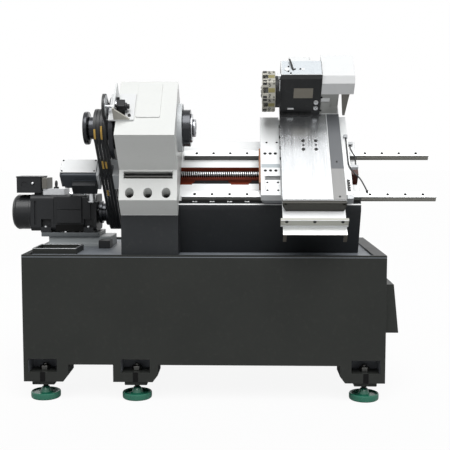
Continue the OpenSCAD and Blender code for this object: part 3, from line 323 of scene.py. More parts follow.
black_paint = painted("black_base_paint", (0.021, 0.023, 0.021), (0.03, 0.032, 0.029), (0.05, 0.052, 0.048),
                      0.42, shine=0.22)
base_finish = painted("base_deck_and_walls", (0.017, 0.0185, 0.017), (0.025, 0.0265, 0.024),
                      (0.042, 0.044, 0.04), 0.42, shine=0.22)
FOOT_X = (-0.7765, -0.3505, 0.6975)
FOOT_Y = (-0.2585, 0.4025)
POCKET_HALF = 0.067
at_foot = [band(base_finish, "X", x - POCKET_HALF, x + POCKET_HALF, UPRIGHT) for x in FOOT_X]
at_left_feet = maths(base_finish.node_tree, "ADD", at_foot[0], at_foot[1])
at_any_foot = maths(base_finish.node_tree, "ADD", at_left_feet, at_foot[2])
# Inside the foot pockets the paint is lighter: painted light in pockets that sit in shade.
pocket_painted_light = overlap(base_finish, band(base_finish, "Z", 0.1315, 0.1925, UPRIGHT),
                    band(base_finish, "Y", -0.316, 0.46, UPRIGHT), at_any_foot)
# The rim top is painted darker than the paint round it: painted shade that tones down its highlight.
rim_painted_shade = band(base_finish, "Z", 0.6722, 0.675, UPRIGHT)
# The deck is painted a lighter blue-grey: painted reflection of the bright sky in its glossy paint.
deck_painted_reflection = band(base_finish, "Z", 0.6615, 0.6645, UPRIGHT)
recoloured(base_finish, pocket_painted_light, (0.2, 0.21, 0.23))
recoloured(base_finish, rim_painted_shade, (0.011, 0.012, 0.012))
recoloured(base_finish, deck_painted_reflection, (0.17, 0.185, 0.205))
eased_edges("base_casting", base_finish, 0.004)
eased_edges("chip_hood", black_paint, 0.002)


# Levelling feet
# Green painted cast pads stand on the floor. A threaded stud rises from each one through its bracket, held by
# a nut above and below the plate.
green_paint = painted("green_pad_paint", (0.01, 0.1, 0.062), (0.018, 0.145, 0.09), (0.03, 0.16, 0.105), 0.32,
                      coat=0.25)

machining_lay, lay_in, lay_out = group_node(
    "machining_lay",
    [("Vector", "NodeSocketVector", None), ("Stretch", "NodeSocketVector", None)],
    [("Lines", "NodeSocketFloat"), ("Stain", "NodeSocketFloat")],
)
stretched = machining_lay.nodes.new("ShaderNodeVectorMath")
stretched.operation = "MULTIPLY"
machining_lay.links.new(lay_in.outputs["Vector"], stretched.inputs[0])
machining_lay.links.new(lay_in.outputs["Stretch"], stretched.inputs[1])
machining_lay.links.new(noise_in(machining_lay, stretched.outputs[0], 1.0, 3.0), lay_out.inputs["Lines"])
machining_lay.links.new(noise_in(machining_lay, lay_in.outputs["Vector"], 7.0, 4.0), lay_out.inputs["Stain"])


def machined(name, dark, light, rough, stretch, metallic=1.0, depth=0.08, tilt=0.0):
    finish, tree, shader = new_finish(name)
    place = tree.nodes.new("ShaderNodeTexCoord")
    turn = tree.nodes.new("ShaderNodeMapping")
    turn.inputs["Rotation"].default_value = (math.radians(tilt), 0.0, 0.0)
    tree.links.new(place.outputs["Object"], turn.inputs["Vector"])
    lay = tree.nodes.new("ShaderNodeGroup")
    lay.node_tree = machining_lay
    lay.inputs["Stretch"].default_value = stretch if isinstance(stretch, tuple) else (stretch,) * 3
    tree.links.new(turn.outputs["Vector"], lay.inputs["Vector"])
    streak = mixed_colour(tree, lay.outputs["Lines"], dark, light)
    stain = mixed_colour(tree, lay.outputs["Stain"], tuple(0.82 * c for c in light), light)
    tree.links.new(mixed_colour(tree, 0.5, streak, stain, "MULTIPLY"), shader.inputs["Base Color"])
    shader.inputs["Metallic"].default_value = metallic
    roughness = spread_value(tree, lay.outputs["Lines"], rough - 0.08, rough + 0.1)
    tree.links.new(roughness, shader.inputs["Roughness"])
    bumped(tree, lay.outputs["Lines"], 0.0004, depth)
    return finish


dark_steel = machined("oiled_dark_steel", (0.10, 0.10, 0.10), (0.2, 0.2, 0.19), 0.42, 60.0)


def joined(parts):
    bm = bmesh.new()
    for mesh, matrix in parts:
        first = len(bm.verts)
        bm.from_mesh(mesh)
        bm.verts.ensure_lookup_table()
        bmesh.ops.transform(bm, matrix=matrix, verts=bm.verts[first:])
    return bm


def turned(name, profile, places, material, body, steps=48):
    bm = bmesh.new()
    rings = [bm.verts.new((r, 0.0, h)) for r, h in profile]
    lines = [bm.edges.new(pair) for pair in zip(rings, rings[1:])]
    bmesh.ops.spin(bm, geom=rings + lines, cent=(0.0, 0.0, 0.0), axis=(0.0, 0.0, 1.0), angle=2.0 * math.pi,
                   steps=steps, use_merge=True)
    bmesh.ops.remove_doubles(bm, verts=bm.verts, dist=0.00001)
    bmesh.ops.recalc_face_normals(bm, faces=bm.faces)
    one = mesh_of(bm, name)
    return fit_piece(name, joined([(one, place) for place in places]), material, body)


def block_mesh(size, bevel):
    bm = bmesh.new()
    bmesh.ops.create_cube(bm, size=1.0)
    bmesh.ops.scale(bm, vec=size, verts=bm.verts)
    bmesh.ops.bevel(bm, geom=bm.edges[:], offset=bevel, offset_type="OFFSET", segments=2, profile=0.5,
                    affect="EDGES", material=-1)
    return mesh_of(bm, "block")


def between(low, high, place=SLOPE):
    low = Vector(low)
    high = Vector(high)
    return place @ Matrix.Translation((low + high) / 2.0), high - low


def blocks(name, boxes, material, body, bevel=0.001):
    parts = [(block_mesh(size, bevel), matrix) for matrix, size in boxes]
    fit_piece(name, joined(parts), material, body)


foot_places = [move(x, y, 0.0) for x in FOOT_X for y in FOOT_Y]
pad_profile = [
    (0.0, 0.0), (0.063, 0.0), (0.0667, 0.003), (0.068, 0.009), (0.068, 0.0245), (0.0667, 0.0285),
    (0.064, 0.03), (0.061, 0.0285), (0.0595, 0.0255), (0.052, 0.0225), (0.034, 0.023), (0.0265, 0.027),
    (0.0235, 0.036), (0.0205, 0.045), (0.0155, 0.0515), (0.0, 0.0538)]
pads = turned("levelling_pad_castings", pad_profile, foot_places, green_paint, "base", 72)
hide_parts("levelling_pads")
STUD_PITCH = 0.003
thread = []
for i in range(35):
    thread += [(0.0121, 0.054 + STUD_PITCH * i), (0.011, 0.0555 + STUD_PITCH * i)]
stud_profile = [(0.0, 0.053)] + thread + [(0.0108, 0.16), (0.0085, 0.163), (0.0, 0.163)]
studs = turned("levelling_stud_threads", stud_profile, foot_places, dark_steel, "base",
               28)
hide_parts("levelling_studs")
nut_profile = [(0.0122, 0.0), (0.0225, 0.0), (0.0242, 0.002), (0.0242, 0.017), (0.0225, 0.02), (0.0122, 0.02)]
nut_places = [place @ move(0.0, 0.0, z) for place in foot_places for z in (0.068, 0.131)]
turned("levelling_nuts", nut_profile, nut_places, dark_steel, "base", 6)
necks = [between((x - 0.052, y - 0.05, 0.07), (x + 0.052, y + 0.05, 0.0885), UPRIGHT)
         for x in FOOT_X for y in FOOT_Y]
blocks("foot_necks", necks, black_paint, "base", 0.004)
slot_black = painted("open_slot_shadow", (0.004, 0.004, 0.004), (0.006, 0.006, 0.006),
                     (0.006, 0.006, 0.006), 0.6, shine=0.1)
foot_slots = [between((x - 0.0125, y - 0.004, 0.0885), (x + 0.0125, y + 0.004, 0.1312), UPRIGHT)
              for x in FOOT_X for y in (-0.317, 0.461)]
blocks("foot_slots", foot_slots, slot_black, "base", 0.001)


# Slant bed
# One iron casting: its 45 degree face is ground bright between the rails, the walls carry the same black
# paint as the base, and the screw channel keeps its red-brown primer.
bed_finish = painted("bed_paint_and_ground_face", (0.016, 0.018, 0.02), (0.027, 0.029, 0.031),
                     (0.05, 0.05, 0.05), 0.46, shine=0.22)
ground_face = band(bed_finish, "Z", -0.0012, 0.002)
channel = overlap(bed_finish, band(bed_finish, "Z", -0.0575, -0.0012), band(bed_finish, "Y", 0.0845, 0.1975))
# The ground face round the rail clamps is painted near black: painted shadow behind the clamps.
clamp_ledge_painted_shadow = overlap(bed_finish, ground_face, band(bed_finish, "Y", -0.0325, -0.0145))
recoloured(bed_finish, channel, (0.26, 0.05, 0.024))
recoloured(bed_finish, ground_face, (0.8, 0.81, 0.81))
recoloured(bed_finish, clamp_ledge_painted_shadow, (0.014, 0.015, 0.016))
eased_edges("slant_bed", bed_finish, 0.002)


# Bed rails
# Two hardened linear rails with bright ground tops and oiled flanks, whose dark colour is partly painted shade,
# are screwed down through counterbores.
# Small wedge clamps push each rail against its shoulder.
rail_steel = machined("ground_rail_steel", (0.8, 0.81, 0.81), (0.94, 0.95, 0.95), 0.34, (3.0, 900.0, 900.0),
                      metallic=0.5, tilt=-45.0)
# The flanks are painted dark, partly oiled steel and partly painted shade; beyond X 0.6785 they are lighter.
rail_flank = band(rail_steel, "Z", -0.001, 0.0275)
free_flank = overlap(rail_steel, rail_flank, band(rail_steel, "X", 0.6785, 1.1))
recoloured(rail_steel, rail_flank, (0.085, 0.085, 0.08))
recoloured(rail_steel, free_flank, (0.26, 0.255, 0.23))
dress(rail_steel, "bed_rails")
ground_steel = machined("ground_steel", (0.55, 0.56, 0.57), (0.84, 0.85, 0.86), 0.3, (3.0, 900.0, 900.0),
                        tilt=-45.0)
dress(ground_steel, "x_rails", "motor_shaft", "x_screw")
screw_black = machined("blackened_screw", (0.012, 0.012, 0.012), (0.03, 0.03, 0.03), 0.4, 90.0, metallic=0.25)


def socket_screw(radius, height):
    bm = bmesh.new()
    bmesh.ops.create_cone(bm, cap_ends=True, segments=18, radius1=radius, radius2=radius, depth=height,
                          matrix=move(0.0, 0.0, height / 2.0))
    rim = [e for e in bm.edges if all(v.co.z > height * 0.9 for v in e.verts)]
    bmesh.ops.bevel(bm, geom=rim, offset=radius * 0.14, offset_type="OFFSET", segments=2, profile=0.5,
                    affect="EDGES", material=-1)
    crown = max(bm.faces, key=lambda f: f.calc_center_median().z)
    bmesh.ops.inset_individual(bm, faces=[crown], thickness=radius * 0.36)
    sunk = bmesh.ops.extrude_face_region(bm, geom=[crown])["geom"]
    bmesh.ops.delete(bm, geom=[crown], context="FACES_ONLY")
    lowered = [v for v in sunk if isinstance(v, bmesh.types.BMVert)]
    bmesh.ops.translate(bm, verts=lowered, vec=(0.0, 0.0, -height * 0.6))
    return mesh_of(bm, "socket_screw")


def screws(name, places, radius, height, body, material=screw_black):
    head = socket_screw(radius, height)
    fit_piece(name, joined([(head, place) for place in places]), material, body)


def slope_spot(x, u, w):
    return SLOPE @ move(x, u, w)


def facing_down_slope(x, u, w):
    return slope_spot(x, u, w) @ rotate(90.0, "X")


RAIL_SPACING = 0.262
HOLE_PITCH = 0.08
rail_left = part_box("bed_rails")[0].x
hole_x = [rail_left + 0.0595 + HOLE_PITCH * i for i in range(14)]
screws("rail_screws", [slope_spot(x, u, 0.0172) for u in (0.0, RAIL_SPACING) for x in hole_x], 0.0066,
       0.008, "base")
CLAMP_TOP = 0.0045
clamp_spots = [(x, u) for x in hole_x[:9] for u in (-0.0218, 0.2838)]
clamps = [between((x - 0.0115, u - 0.0034, 0.0003), (x + 0.0115, u + 0.0034, CLAMP_TOP))
          for x, u in clamp_spots]
blocks("rail_clamps", clamps, ground_steel, "base", 0.0012)
screws("rail_clamp_screws", [slope_spot(x, u, CLAMP_TOP) for x, u in clamp_spots], 0.003, 0.0015, "base")


# Headstock
# A box casting in light grey paint stands on the bed and is held by deep bolts through its front foot.
# A thin plate closes its top and caps close both ends of the spindle bore.
grey_paint = painted("headstock_paint", (0.605, 0.615, 0.597), (0.685, 0.695, 0.677), (0.555, 0.555, 0.53),
                     0.42, peel_depth=0.06, coat=0.1)
eased_edges("headstock", grey_paint, 0.003)
eased_edges("headstock_cover", grey_paint, 0.0015)
cap_paint = painted("bearing_cap_paint", (0.44, 0.46, 0.47), (0.52, 0.54, 0.55), (0.45, 0.45, 0.44), 0.4)
eased_edges("front_bearing_cap", cap_paint, 0.0025)
dress(dark_steel, "headstock_bolts")
black_iron = machined("blackened_iron", (0.06, 0.062, 0.068), (0.12, 0.123, 0.13), 0.24, (40.0, 900.0, 900.0))
dress(black_iron, "rear_bearing_cap", "spindle_bearings")
AXIS_X = rotate(90.0, "Y")
SPINDLE_LINE = (0.213, 0.241)


def around_spindle(radius, degrees, x):
    return slope_spot(x, *SPINDLE_LINE) @ rotate(degrees, "X") @ move(0.0, radius, 0.0) @ AXIS_X


screws("front_cap_screws", [around_spindle(0.0946, 60.0 * i, -0.1425) for i in range(6)], 0.006, 0.007,
       "base")
screws("headstock_bolt_heads", [slope_spot(x, -0.072, 0.068) for x in (-0.3675, -0.2855, -0.2035)], 0.0165,
       0.022, "base")
WINDOW = slope_spot(-0.2855, -0.101, 0.1) @ rotate(30.26, "X")
WINDOW_HALF = 0.1095
# A black block inside the window stands for the dark hollow behind it: painted shadow.
blocks("window_painted_shadow", [between((-WINDOW_HALF, 0.0995, -0.0595), (WINDOW_HALF, 0.1303, -0.05), WINDOW)],
       screw_black, "base", 0.0008)
bar_profile = [(0.0, 0.0), (0.0065, 0.0), (0.0065, 0.219), (0.0, 0.219)]
turned("window_bar", bar_profile, [WINDOW @ move(-WINDOW_HALF, 0.113, -0.026) @ AXIS_X], dark_steel, "base",
       24)


# Spindle
# The hollow spindle is turned from one bar: a flanged nose for the chuck at the right and the belt pulley,
# timing pulley and clamping collar on its tail at the left.
nose_iron = machined("spindle_nose", (0.06, 0.062, 0.068), (0.12, 0.123, 0.13), 0.22, (40.0, 900.0, 900.0))
recoloured(nose_iron, band(nose_iron, "X", -0.0945, -0.0905), (0.5, 0.51, 0.53))
recoloured(nose_iron, band(nose_iron, "X", -0.084, 0.0), (0.42, 0.43, 0.45))
eased_edges("spindle", nose_iron, 0.0016)
spindle_hub = joint_at["spindle_spin"]
collar_profile = [
    (0.0405, -0.5835), (0.066, -0.5835), (0.0735, -0.5815), (0.0755, -0.578), (0.0755, -0.5655),
    (0.073, -0.562), (0.056, -0.561), (0.051, -0.5575), (0.051, -0.534), (0.0405, -0.534)]
collar = turned("spindle_tail_collar", collar_profile, [move(0.0, spindle_hub.y, spindle_hub.z) @ AXIS_X],
                black_iron, "spindle", 72)
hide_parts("spindle_collar")
dress(black_iron, "spindle_pulley", "encoder_drive_pulley", "motor_pulley")


# Belts
# Four V belts and one toothed belt, all black rubber, run down to the motor and up to the encoder.
# The V belts carry plain yellow marks.
def rubber(name, colour, rough):
    return painted(name, tuple(0.7 * c for c in colour), colour, tuple(2.2 * c for c in colour), rough,
                   420.0, 0.2)


belt_rubber = rubber("belt_rubber", (0.014, 0.015, 0.016), 0.45)
dress(belt_rubber, "encoder_belt")
motor_hub = joint_at["motor_spin"]
BELT_OUT = 0.0865
BELT_WIDTH = 0.0125
BELT_HEIGHT = 0.0095
BELT_PITCH = 0.015
ARC_STEPS = 24
run_way = Vector((0.0, motor_hub.y - spindle_hub.y, motor_hub.z - spindle_hub.z)).normalized()
run_out = Vector((0.0, run_way.z, -run_way.y))
belt_x = [-0.5325 + (i + 0.5) * BELT_PITCH for i in range(4)]


def belt_frame(x, hub, out, way, reach):
    spot = Vector((x, hub.y, hub.z)) + out * reach
    return Matrix.Translation(spot) @ Matrix((Vector((1.0, 0.0, 0.0)), out, way)).transposed().to_4x4()


def ring_edges(bm, segments, radius, matrix, closed=False):
    ring = bmesh.ops.create_circle(bm, cap_ends=closed, segments=segments, radius=radius, matrix=matrix)
    return list({e for v in ring["verts"] for e in v.link_edges})


belts_bm = bmesh.new()
section = Matrix.Diagonal((BELT_WIDTH, BELT_HEIGHT, 1.0, 1.0)) @ rotate(45.0, "Z")
for x in belt_x:
    loops = []
    for hub, side in ((spindle_hub, -1.0), (motor_hub, 1.0)):
        for step in range(ARC_STEPS + 1):
            turn = math.pi * step / ARC_STEPS
            out = side * (run_out * math.cos(turn) + run_way * math.sin(turn))
            way = side * (run_way * math.cos(turn) - run_out * math.sin(turn))
            place = belt_frame(x, hub, out, way, BELT_OUT - BELT_HEIGHT / 2.0)
            loops.append(ring_edges(belts_bm, 4, math.sqrt(0.5), place @ section))
    for first, second in zip(loops, loops[1:] + loops[:1]):
        bmesh.ops.bridge_loops(belts_bm, edges=first + second)
belts = fit_piece("v_belts", belts_bm, belt_rubber, "base")
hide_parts("drive_belts")
yellow_mark = painted("yellow_belt_mark", (0.42, 0.25, 0.04), (0.6, 0.38, 0.08), (0.3, 0.2, 0.05), 0.55)
mark_runs = ((0, -0.06, -0.012), (2, -0.074, -0.01), (1, 0.126, 0.178), (2, 0.13, 0.175), (1, 0.323, 0.362))
MARK_WIDTH = 0.0085
marks_bm = bmesh.new()
for belt, start, end in mark_runs:
    made = bmesh.ops.create_grid(marks_bm, x_segments=1, y_segments=10, size=0.5)["verts"]
    for vert in made:
        along = start + (end - start) * (vert.co.y + 0.5)
        out = run_out.copy()
        if along < 0.0:
            out = run_out * math.cos(along / BELT_OUT) + run_way * math.sin(along / BELT_OUT)
        place = belt_frame(belt_x[belt] + vert.co.x * MARK_WIDTH, spindle_hub, out, run_way,
                           BELT_OUT + 0.0002)
        vert.co = place.translation + run_way * max(along, 0.0)
fit_piece("belt_marks", marks_bm, yellow_mark, "base")


# Spindle encoder
# A small black encoder hangs on a bent steel angle that is bolted to the headstock's top.
# Its silver pulley, flange and standoffs show at both ends.
bracket_paint = painted("encoder_bracket_paint", (0.6, 0.61, 0.61), (0.68, 0.69, 0.69), (0.6, 0.6, 0.58),
                        0.42)
# The gusset is painted darker and browner than the rest of the bracket: painted shade.
gusset_painted_shade = overlap(bracket_paint, band(bracket_paint, "Y", 0.0, 0.1132),
                    band(bracket_paint, "Z", 0.3945, 0.6))
recoloured(bracket_paint, gusset_painted_shade, (0.36, 0.35, 0.31))
eased_edges("encoder_bracket", bracket_paint, 0.0012)
motor_black = painted("motor_black_paint", (0.009, 0.01, 0.011), (0.017, 0.018, 0.02),
                      (0.045, 0.045, 0.045), 0.42, shine=0.28)
pulley_silver = machined("encoder_pulley_alloy", (0.5, 0.51, 0.52), (0.72, 0.73, 0.74), 0.3, 200.0)
dress(pulley_silver, "encoder_pulley")
eased_edges("encoder_body", motor_black, 0.002)
screws("encoder_bracket_screws", [slope_spot(x, u, 0.394) for x, u in ((-0.3825, 0.137), (-0.357, 0.13))],
       0.0068, 0.007, "base")
ENCODER_U = 0.162
ENCODER_W = 0.419
FLIPPED = rotate(180.0, "X")
encoder_axis = slope_spot(0.0, ENCODER_U, ENCODER_W) @ AXIS_X
standoffs = [slope_spot(-0.4155, ENCODER_U + du, ENCODER_W + dw) @ AXIS_X
             for du, dw in ((0.037, 0.014), (-0.026, 0.03), (0.03, -0.015))]
screws("encoder_standoffs", standoffs, 0.006, 0.014, "base")
pulley_end = encoder_axis @ move(0.0, 0.0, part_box("encoder_pulley")[0].x)
pulley_body = body_of["encoder_pulley"]
hub_profile = [(0.0, -0.004), (0.008, -0.004), (0.009, -0.003), (0.009, 0.0), (0.0265, 0.0), (0.0275, -0.001),
               (0.0285, 0.0), (0.0285, 0.001), (0.0, 0.001)]
turned("encoder_pulley_hub", hub_profile, [pulley_end], pulley_silver, pulley_body, 48)
screws("encoder_pulley_screws", [pulley_end @ rotate(90.0 * i, "Z") @ move(0.018, 0.0, 0.0) @ FLIPPED
                                 for i in range(4)], 0.0038, 0.0022, pulley_body)
cap_profile = [(0.0, -0.3555), (0.0105, -0.3565), (0.0105, -0.366), (0.0165, -0.3675), (0.0165, -0.3755),
               (0.0, -0.3757)]
turned("encoder_cap", cap_profile, [encoder_axis], motor_black, "base", 32)
flange_profile = [(0.0, -0.4152), (0.029, -0.4152), (0.029, -0.4105), (0.0235, -0.4095), (0.0, -0.4095)]
turned("encoder_flange", flange_profile, [encoder_axis], pulley_silver, "base", 48)


# Spindle motor
# A square black motor with a round fan cowl and a terminal box stands on a steel plate and a milled block.
# A pale pad on its top carries the lifting eye, and silver fittings sit at its front corner.
eased_edges("motor_frame", motor_black, 0.003)
eased_edges("motor_terminal_box", motor_black, 0.002)
cowl_black = painted("fan_cowl_gloss", (0.01, 0.011, 0.012), (0.016, 0.017, 0.019), (0.03, 0.03, 0.03), 0.27,
                     shine=0.3)
dress(cowl_black, "motor_fan_cowl")
motor_axis = move(0.0, motor_hub.y, motor_hub.z) @ AXIS_X
cowl_profile = [(0.0825, -1.0035), (0.0865, -1.002), (0.0882, -0.9985), (0.0882, -0.992), (0.0872, -0.99),
                (0.0872, -0.934), (0.0886, -0.932), (0.0886, -0.9212), (0.0825, -0.9212)]
turned("cowl_bands", cowl_profile, [motor_axis], cowl_black, "base", 96)
shaft_profile = [(0.0212, -0.588), (0.05, -0.588), (0.057, -0.585), (0.057, -0.571), (0.046, -0.569),
                 (0.046, -0.553), (0.064, -0.551), (0.0665, -0.5485), (0.0665, -0.5345), (0.0212, -0.5345)]
turned("motor_shaft_hub", shaft_profile, [motor_axis], black_iron, body_of["motor_shaft"], 72)
pale_metal = machined("pale_cast_metal", (0.58, 0.59, 0.6), (0.76, 0.77, 0.78), 0.4, 70.0, metallic=0.3)
recoloured(pale_metal, band(pale_metal, "Z", 0.9504, 1.1, UPRIGHT), (0.014, 0.014, 0.015))
eased_edges("motor_lifting_eye", pale_metal, 0.0015)
plate_steel = painted("grey_plate_primer", (0.075, 0.085, 0.09), (0.11, 0.12, 0.125), (0.2, 0.2, 0.2), 0.4)
eased_edges("motor_plate", plate_steel, 0.002)
block_paint = painted("grey_block_paint", (0.26, 0.28, 0.285), (0.34, 0.36, 0.365), (0.3, 0.3, 0.3), 0.4)
eased_edges("motor_block", block_paint, 0.002)
silver = machined("silver_fitting", (0.62, 0.63, 0.64), (0.84, 0.85, 0.86), 0.28, 120.0)
connector_profile = [(0.0, 0.0), (0.0245, 0.0), (0.0245, 0.006), (0.018, 0.0065), (0.018, 0.052),
                     (0.0165, 0.0565), (0.0, 0.0565)]
turned("motor_connector", connector_profile, [move(-0.611, 0.0925, 0.885)], silver, "base",
       36)
conduit_profile = [(0.0, 0.0), (0.009, 0.0), (0.009, 0.018), (0.0062, 0.019), (0.0062, 0.072),
                   (0.0085, 0.073), (0.0085, 0.082), (0.0, 0.082)]
turned("motor_conduit", conduit_profile, [move(-0.722, 0.0905, 0.9275) @ AXIS_X], silver, "base",
       24)
plug_profile = [(0.0088, 0.0), (0.0088, 0.004), (0.0068, 0.008), (0.0035, 0.0105), (0.0, 0.011)]
turned("terminal_plug", plug_profile, [move(-0.9125, 0.1135, 0.977) @ rotate(90.0, "X")], silver, "base",
       24)
tan_plate = painted("terminal_side_plate", (0.09, 0.086, 0.075), (0.13, 0.124, 0.108), (0.15, 0.145, 0.13),
                    0.5)
motor_front = motor_hub.y - 0.09
foot_screws = [move(x, motor_front - 0.002, z)
               for x, z in ((-0.8435, 0.76), (-0.6305, 0.76), (-0.745, 0.734))]
screws("motor_foot_screws", foot_screws, 0.008, 0.007, "base", silver)
motor_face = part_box("motor_frame")[0].y
panels = [between((-0.786, motor_face - 0.0022, low), (-0.664, motor_face + 0.001, high), UPRIGHT)
          for low, high in ((0.782, 0.846), (0.849, 0.912))]
blocks("motor_panel", panels, motor_black, "base", 0.0012)
# The near-black strip between the motor feet is painted shade standing in for the recess there.
for name, low, high, material, slot, bevel in (
    ("terminal_side", (-0.8665, 0.112, 0.9505), (-0.8405, 0.236, 1.004), tan_plate, "black_paint", 0.002),
    ("motor_recess_painted_shade", (-0.794, motor_face - 0.0008, 0.741), (-0.654, motor_face + 0.001, 0.773), slot_black,
     "black_paint", 0.0006),
    ("deck_pad", (-0.5690, 0.0084, 0.6628), (-0.5127, 0.0984, 0.7024), motor_black, "motor_paint", 0.003),
):
    blocks(name, [between(low, high, UPRIGHT)], material, "base", bevel)
# Silver strips along the well collar's rim stand for the light its top edges catch: painted highlight.
HIGHLIGHT_LOW = 0.6888
HIGHLIGHT_HIGH = 0.6912
WALL = 0.009
well_left, well_right = -0.8275, -0.6405
well_front, well_back = -0.2155, -0.0535
rim_highlights = [between((x0, y0, HIGHLIGHT_LOW), (x1, y1, HIGHLIGHT_HIGH), UPRIGHT) for x0, y0, x1, y1 in (
    (well_left - WALL, well_front - WALL, well_right + WALL, well_front),
    (well_left - WALL, well_back, well_right + WALL, well_back + WALL),
    (well_left - WALL, well_front, well_left, well_back),
    (well_right, well_front, well_right + WALL, well_back),
)]
blocks("well_rim_highlight", rim_highlights, silver, "base", 0.0008)


# Z drive
# A square servo motor behind the headstock turns the long ball screw. Its bracket holds the fixed bearing
# and a brown block at the bed's end holds the other. Lands with painted-shadow edges reach into the red channel.
servo_paint = painted("servo_blue_black", (0.04, 0.047, 0.055), (0.06, 0.069, 0.08), (0.08, 0.085, 0.09),
                      0.36, shine=0.3)
# The servo's lower face is painted near black: painted shade on the side turned away from the light.
recoloured(servo_paint, band(servo_paint, "Y", 0.0, 0.1149), (0.014, 0.015, 0.017))
eased_edges("z_servo_motor", servo_paint, 0.002)
white_paint = painted("white_cover_paint", (0.66, 0.67, 0.67), (0.72, 0.73, 0.73), (0.6, 0.6, 0.58), 0.4,
                      peel_depth=0.05, coat=0.1)
# The plate on the servo's top is painted white for the light its top face reflects: painted reflection.
blocks("z_servo_top_plate_sheen", [between((-0.7205, 0.131, 0.0323), (-0.5525, 0.2145, 0.0348))], white_paint, "base",
       0.0009)
screws("z_servo_cover_screws", [slope_spot(x, u, 0.0347) for x in (-0.713, -0.56) for u in (0.139, 0.207)],
       0.004, 0.003, "base")
bracket_grey = painted("bracket_paint", (0.5, 0.52, 0.53), (0.6, 0.62, 0.63), (0.5, 0.5, 0.5), 0.42)
eased_edges("z_motor_bracket", bracket_grey, 0.002)
bearing_brown = painted("end_bearing_brown", (0.045, 0.013, 0.009), (0.075, 0.02, 0.012), (0.1, 0.04, 0.03),
                        0.5)
eased_edges("z_end_bearing", bearing_brown, 0.002)
LEAD = 0.010
TURNS = 102
TURN_STEPS = 20
THREAD_START = -0.4095
CREST = 0.016
SCREW = slope_spot(0.0, 0.166, -0.018)
groove = [(0.0, 0.0124), (0.0034, 0.0128), (0.0048, CREST), (0.0074, CREST), (LEAD, 0.0124)]
thread_bm = bmesh.new()
thread_verts = [thread_bm.verts.new((THREAD_START + x, r, 0.0)) for x, r in groove]
thread_lines = [thread_bm.edges.new(pair) for pair in zip(thread_verts, thread_verts[1:])]
bmesh.ops.spin(thread_bm, geom=thread_verts + thread_lines, cent=(0.0, 0.0, 0.0), axis=(1.0, 0.0, 0.0),
               dvec=(LEAD / TURN_STEPS, 0.0, 0.0), angle=2.0 * math.pi * TURNS, steps=TURN_STEPS * TURNS)
bmesh.ops.remove_doubles(thread_bm, verts=thread_bm.verts, dist=0.00005)
for face in thread_bm.faces:
    middle = face.calc_center_median()
    face.material_index = 1 if math.hypot(middle.y, middle.z) < CREST - 0.0008 else 0
bmesh.ops.transform(thread_bm, matrix=SCREW, verts=thread_bm.verts)
screw_thread = fit_piece("z_screw_thread", thread_bm, ground_steel, "z_screw")
screw_thread.data.materials.append(screw_black)
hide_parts("z_screw")
core_profile = [(0.0, -0.5495), (0.01, -0.5495), (0.01, THREAD_START), (0.0118, THREAD_START),
                (0.0118, 0.6205), (0.01, 0.6205), (0.01, 0.6765), (0.009, 0.6775), (0.0, 0.6775)]
turned("z_screw_shaft", core_profile, [SCREW @ AXIS_X], ground_steel, "z_screw", 32)
land_spans = ((-0.0998, 0.0817), (0.165, 0.345))
land_rows = ((0.0, 0.0905, 0.096), (0.006, 0.096, 0.102), (0.013, 0.102, 0.1115))
blocks("channel_lands", [between((low, 0.0835, -0.012), (high, 0.0905, 0.0002)) for low, high in land_spans],
       bed_finish, "base", 0.0005)
# The black strips along the lands' upper edges are painted shadow.
blocks("channel_land_shadow_edges", [between((low + inset, start, -0.012), (high - inset, end, -0.0006))
                              for low, high in land_spans for inset, start, end in land_rows],
       slot_black, "base", 0.0005)


# Carriage
# The saddle is a milled iron plate on four guide blocks. Wings on both sides of the cross slide carry bolts
# and oil fittings, and a bronze strip wipes the bed.
milled_iron = machined("milled_iron", (0.74, 0.75, 0.75), (0.86, 0.87, 0.87), 0.44, (500.0, 6.0, 500.0),
                       metallic=0.25, tilt=-45.0)
eased_edges("saddle", milled_iron, 0.0012)
block_steel = machined("guide_block_steel", (0.4, 0.41, 0.42), (0.62, 0.63, 0.64), 0.34, (6.0, 700.0, 700.0),
                       metallic=0.6, tilt=-45.0)
dress(block_steel, "z_guide_blocks", "x_guide_blocks", "z_nut", "x_nut")
bronze = machined("bronze_strip", (0.26, 0.13, 0.075), (0.38, 0.21, 0.13), 0.4, (300.0, 8.0, 300.0),
                  metallic=0.4, tilt=-45.0)
dress(bronze, "wiper_strip")
saddle_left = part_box("saddle")[0].x
bolt_rows = ((0.089, 0.0835), (0.201, 0.0805))
saddle_bolts = [slope_spot(saddle_left + x, u, w) for x in (0.021, 0.045, 0.069) for u, w in bolt_rows]
screws("saddle_bolts", saddle_bolts, 0.0077, 0.008, "carriage")
screw_rows = ((-0.033, 0.0845), (0.015, 0.0845), (0.274, 0.0815))
screws("saddle_screws", [slope_spot(saddle_left + x, u, w) for x in (0.029, 0.077) for u, w in screw_rows],
       0.0052, 0.007, "carriage")
eased_edges("oil_manifold", block_steel, 0.001)
step_shade_blue = painted("wing_step_painted_shade", (0.34, 0.38, 0.4), (0.42, 0.46, 0.48), (0.5, 0.5, 0.5), 0.42)
step_grey = painted("wing_step_shade", (0.1, 0.105, 0.105), (0.15, 0.155, 0.155), (0.3, 0.3, 0.3), 0.42)
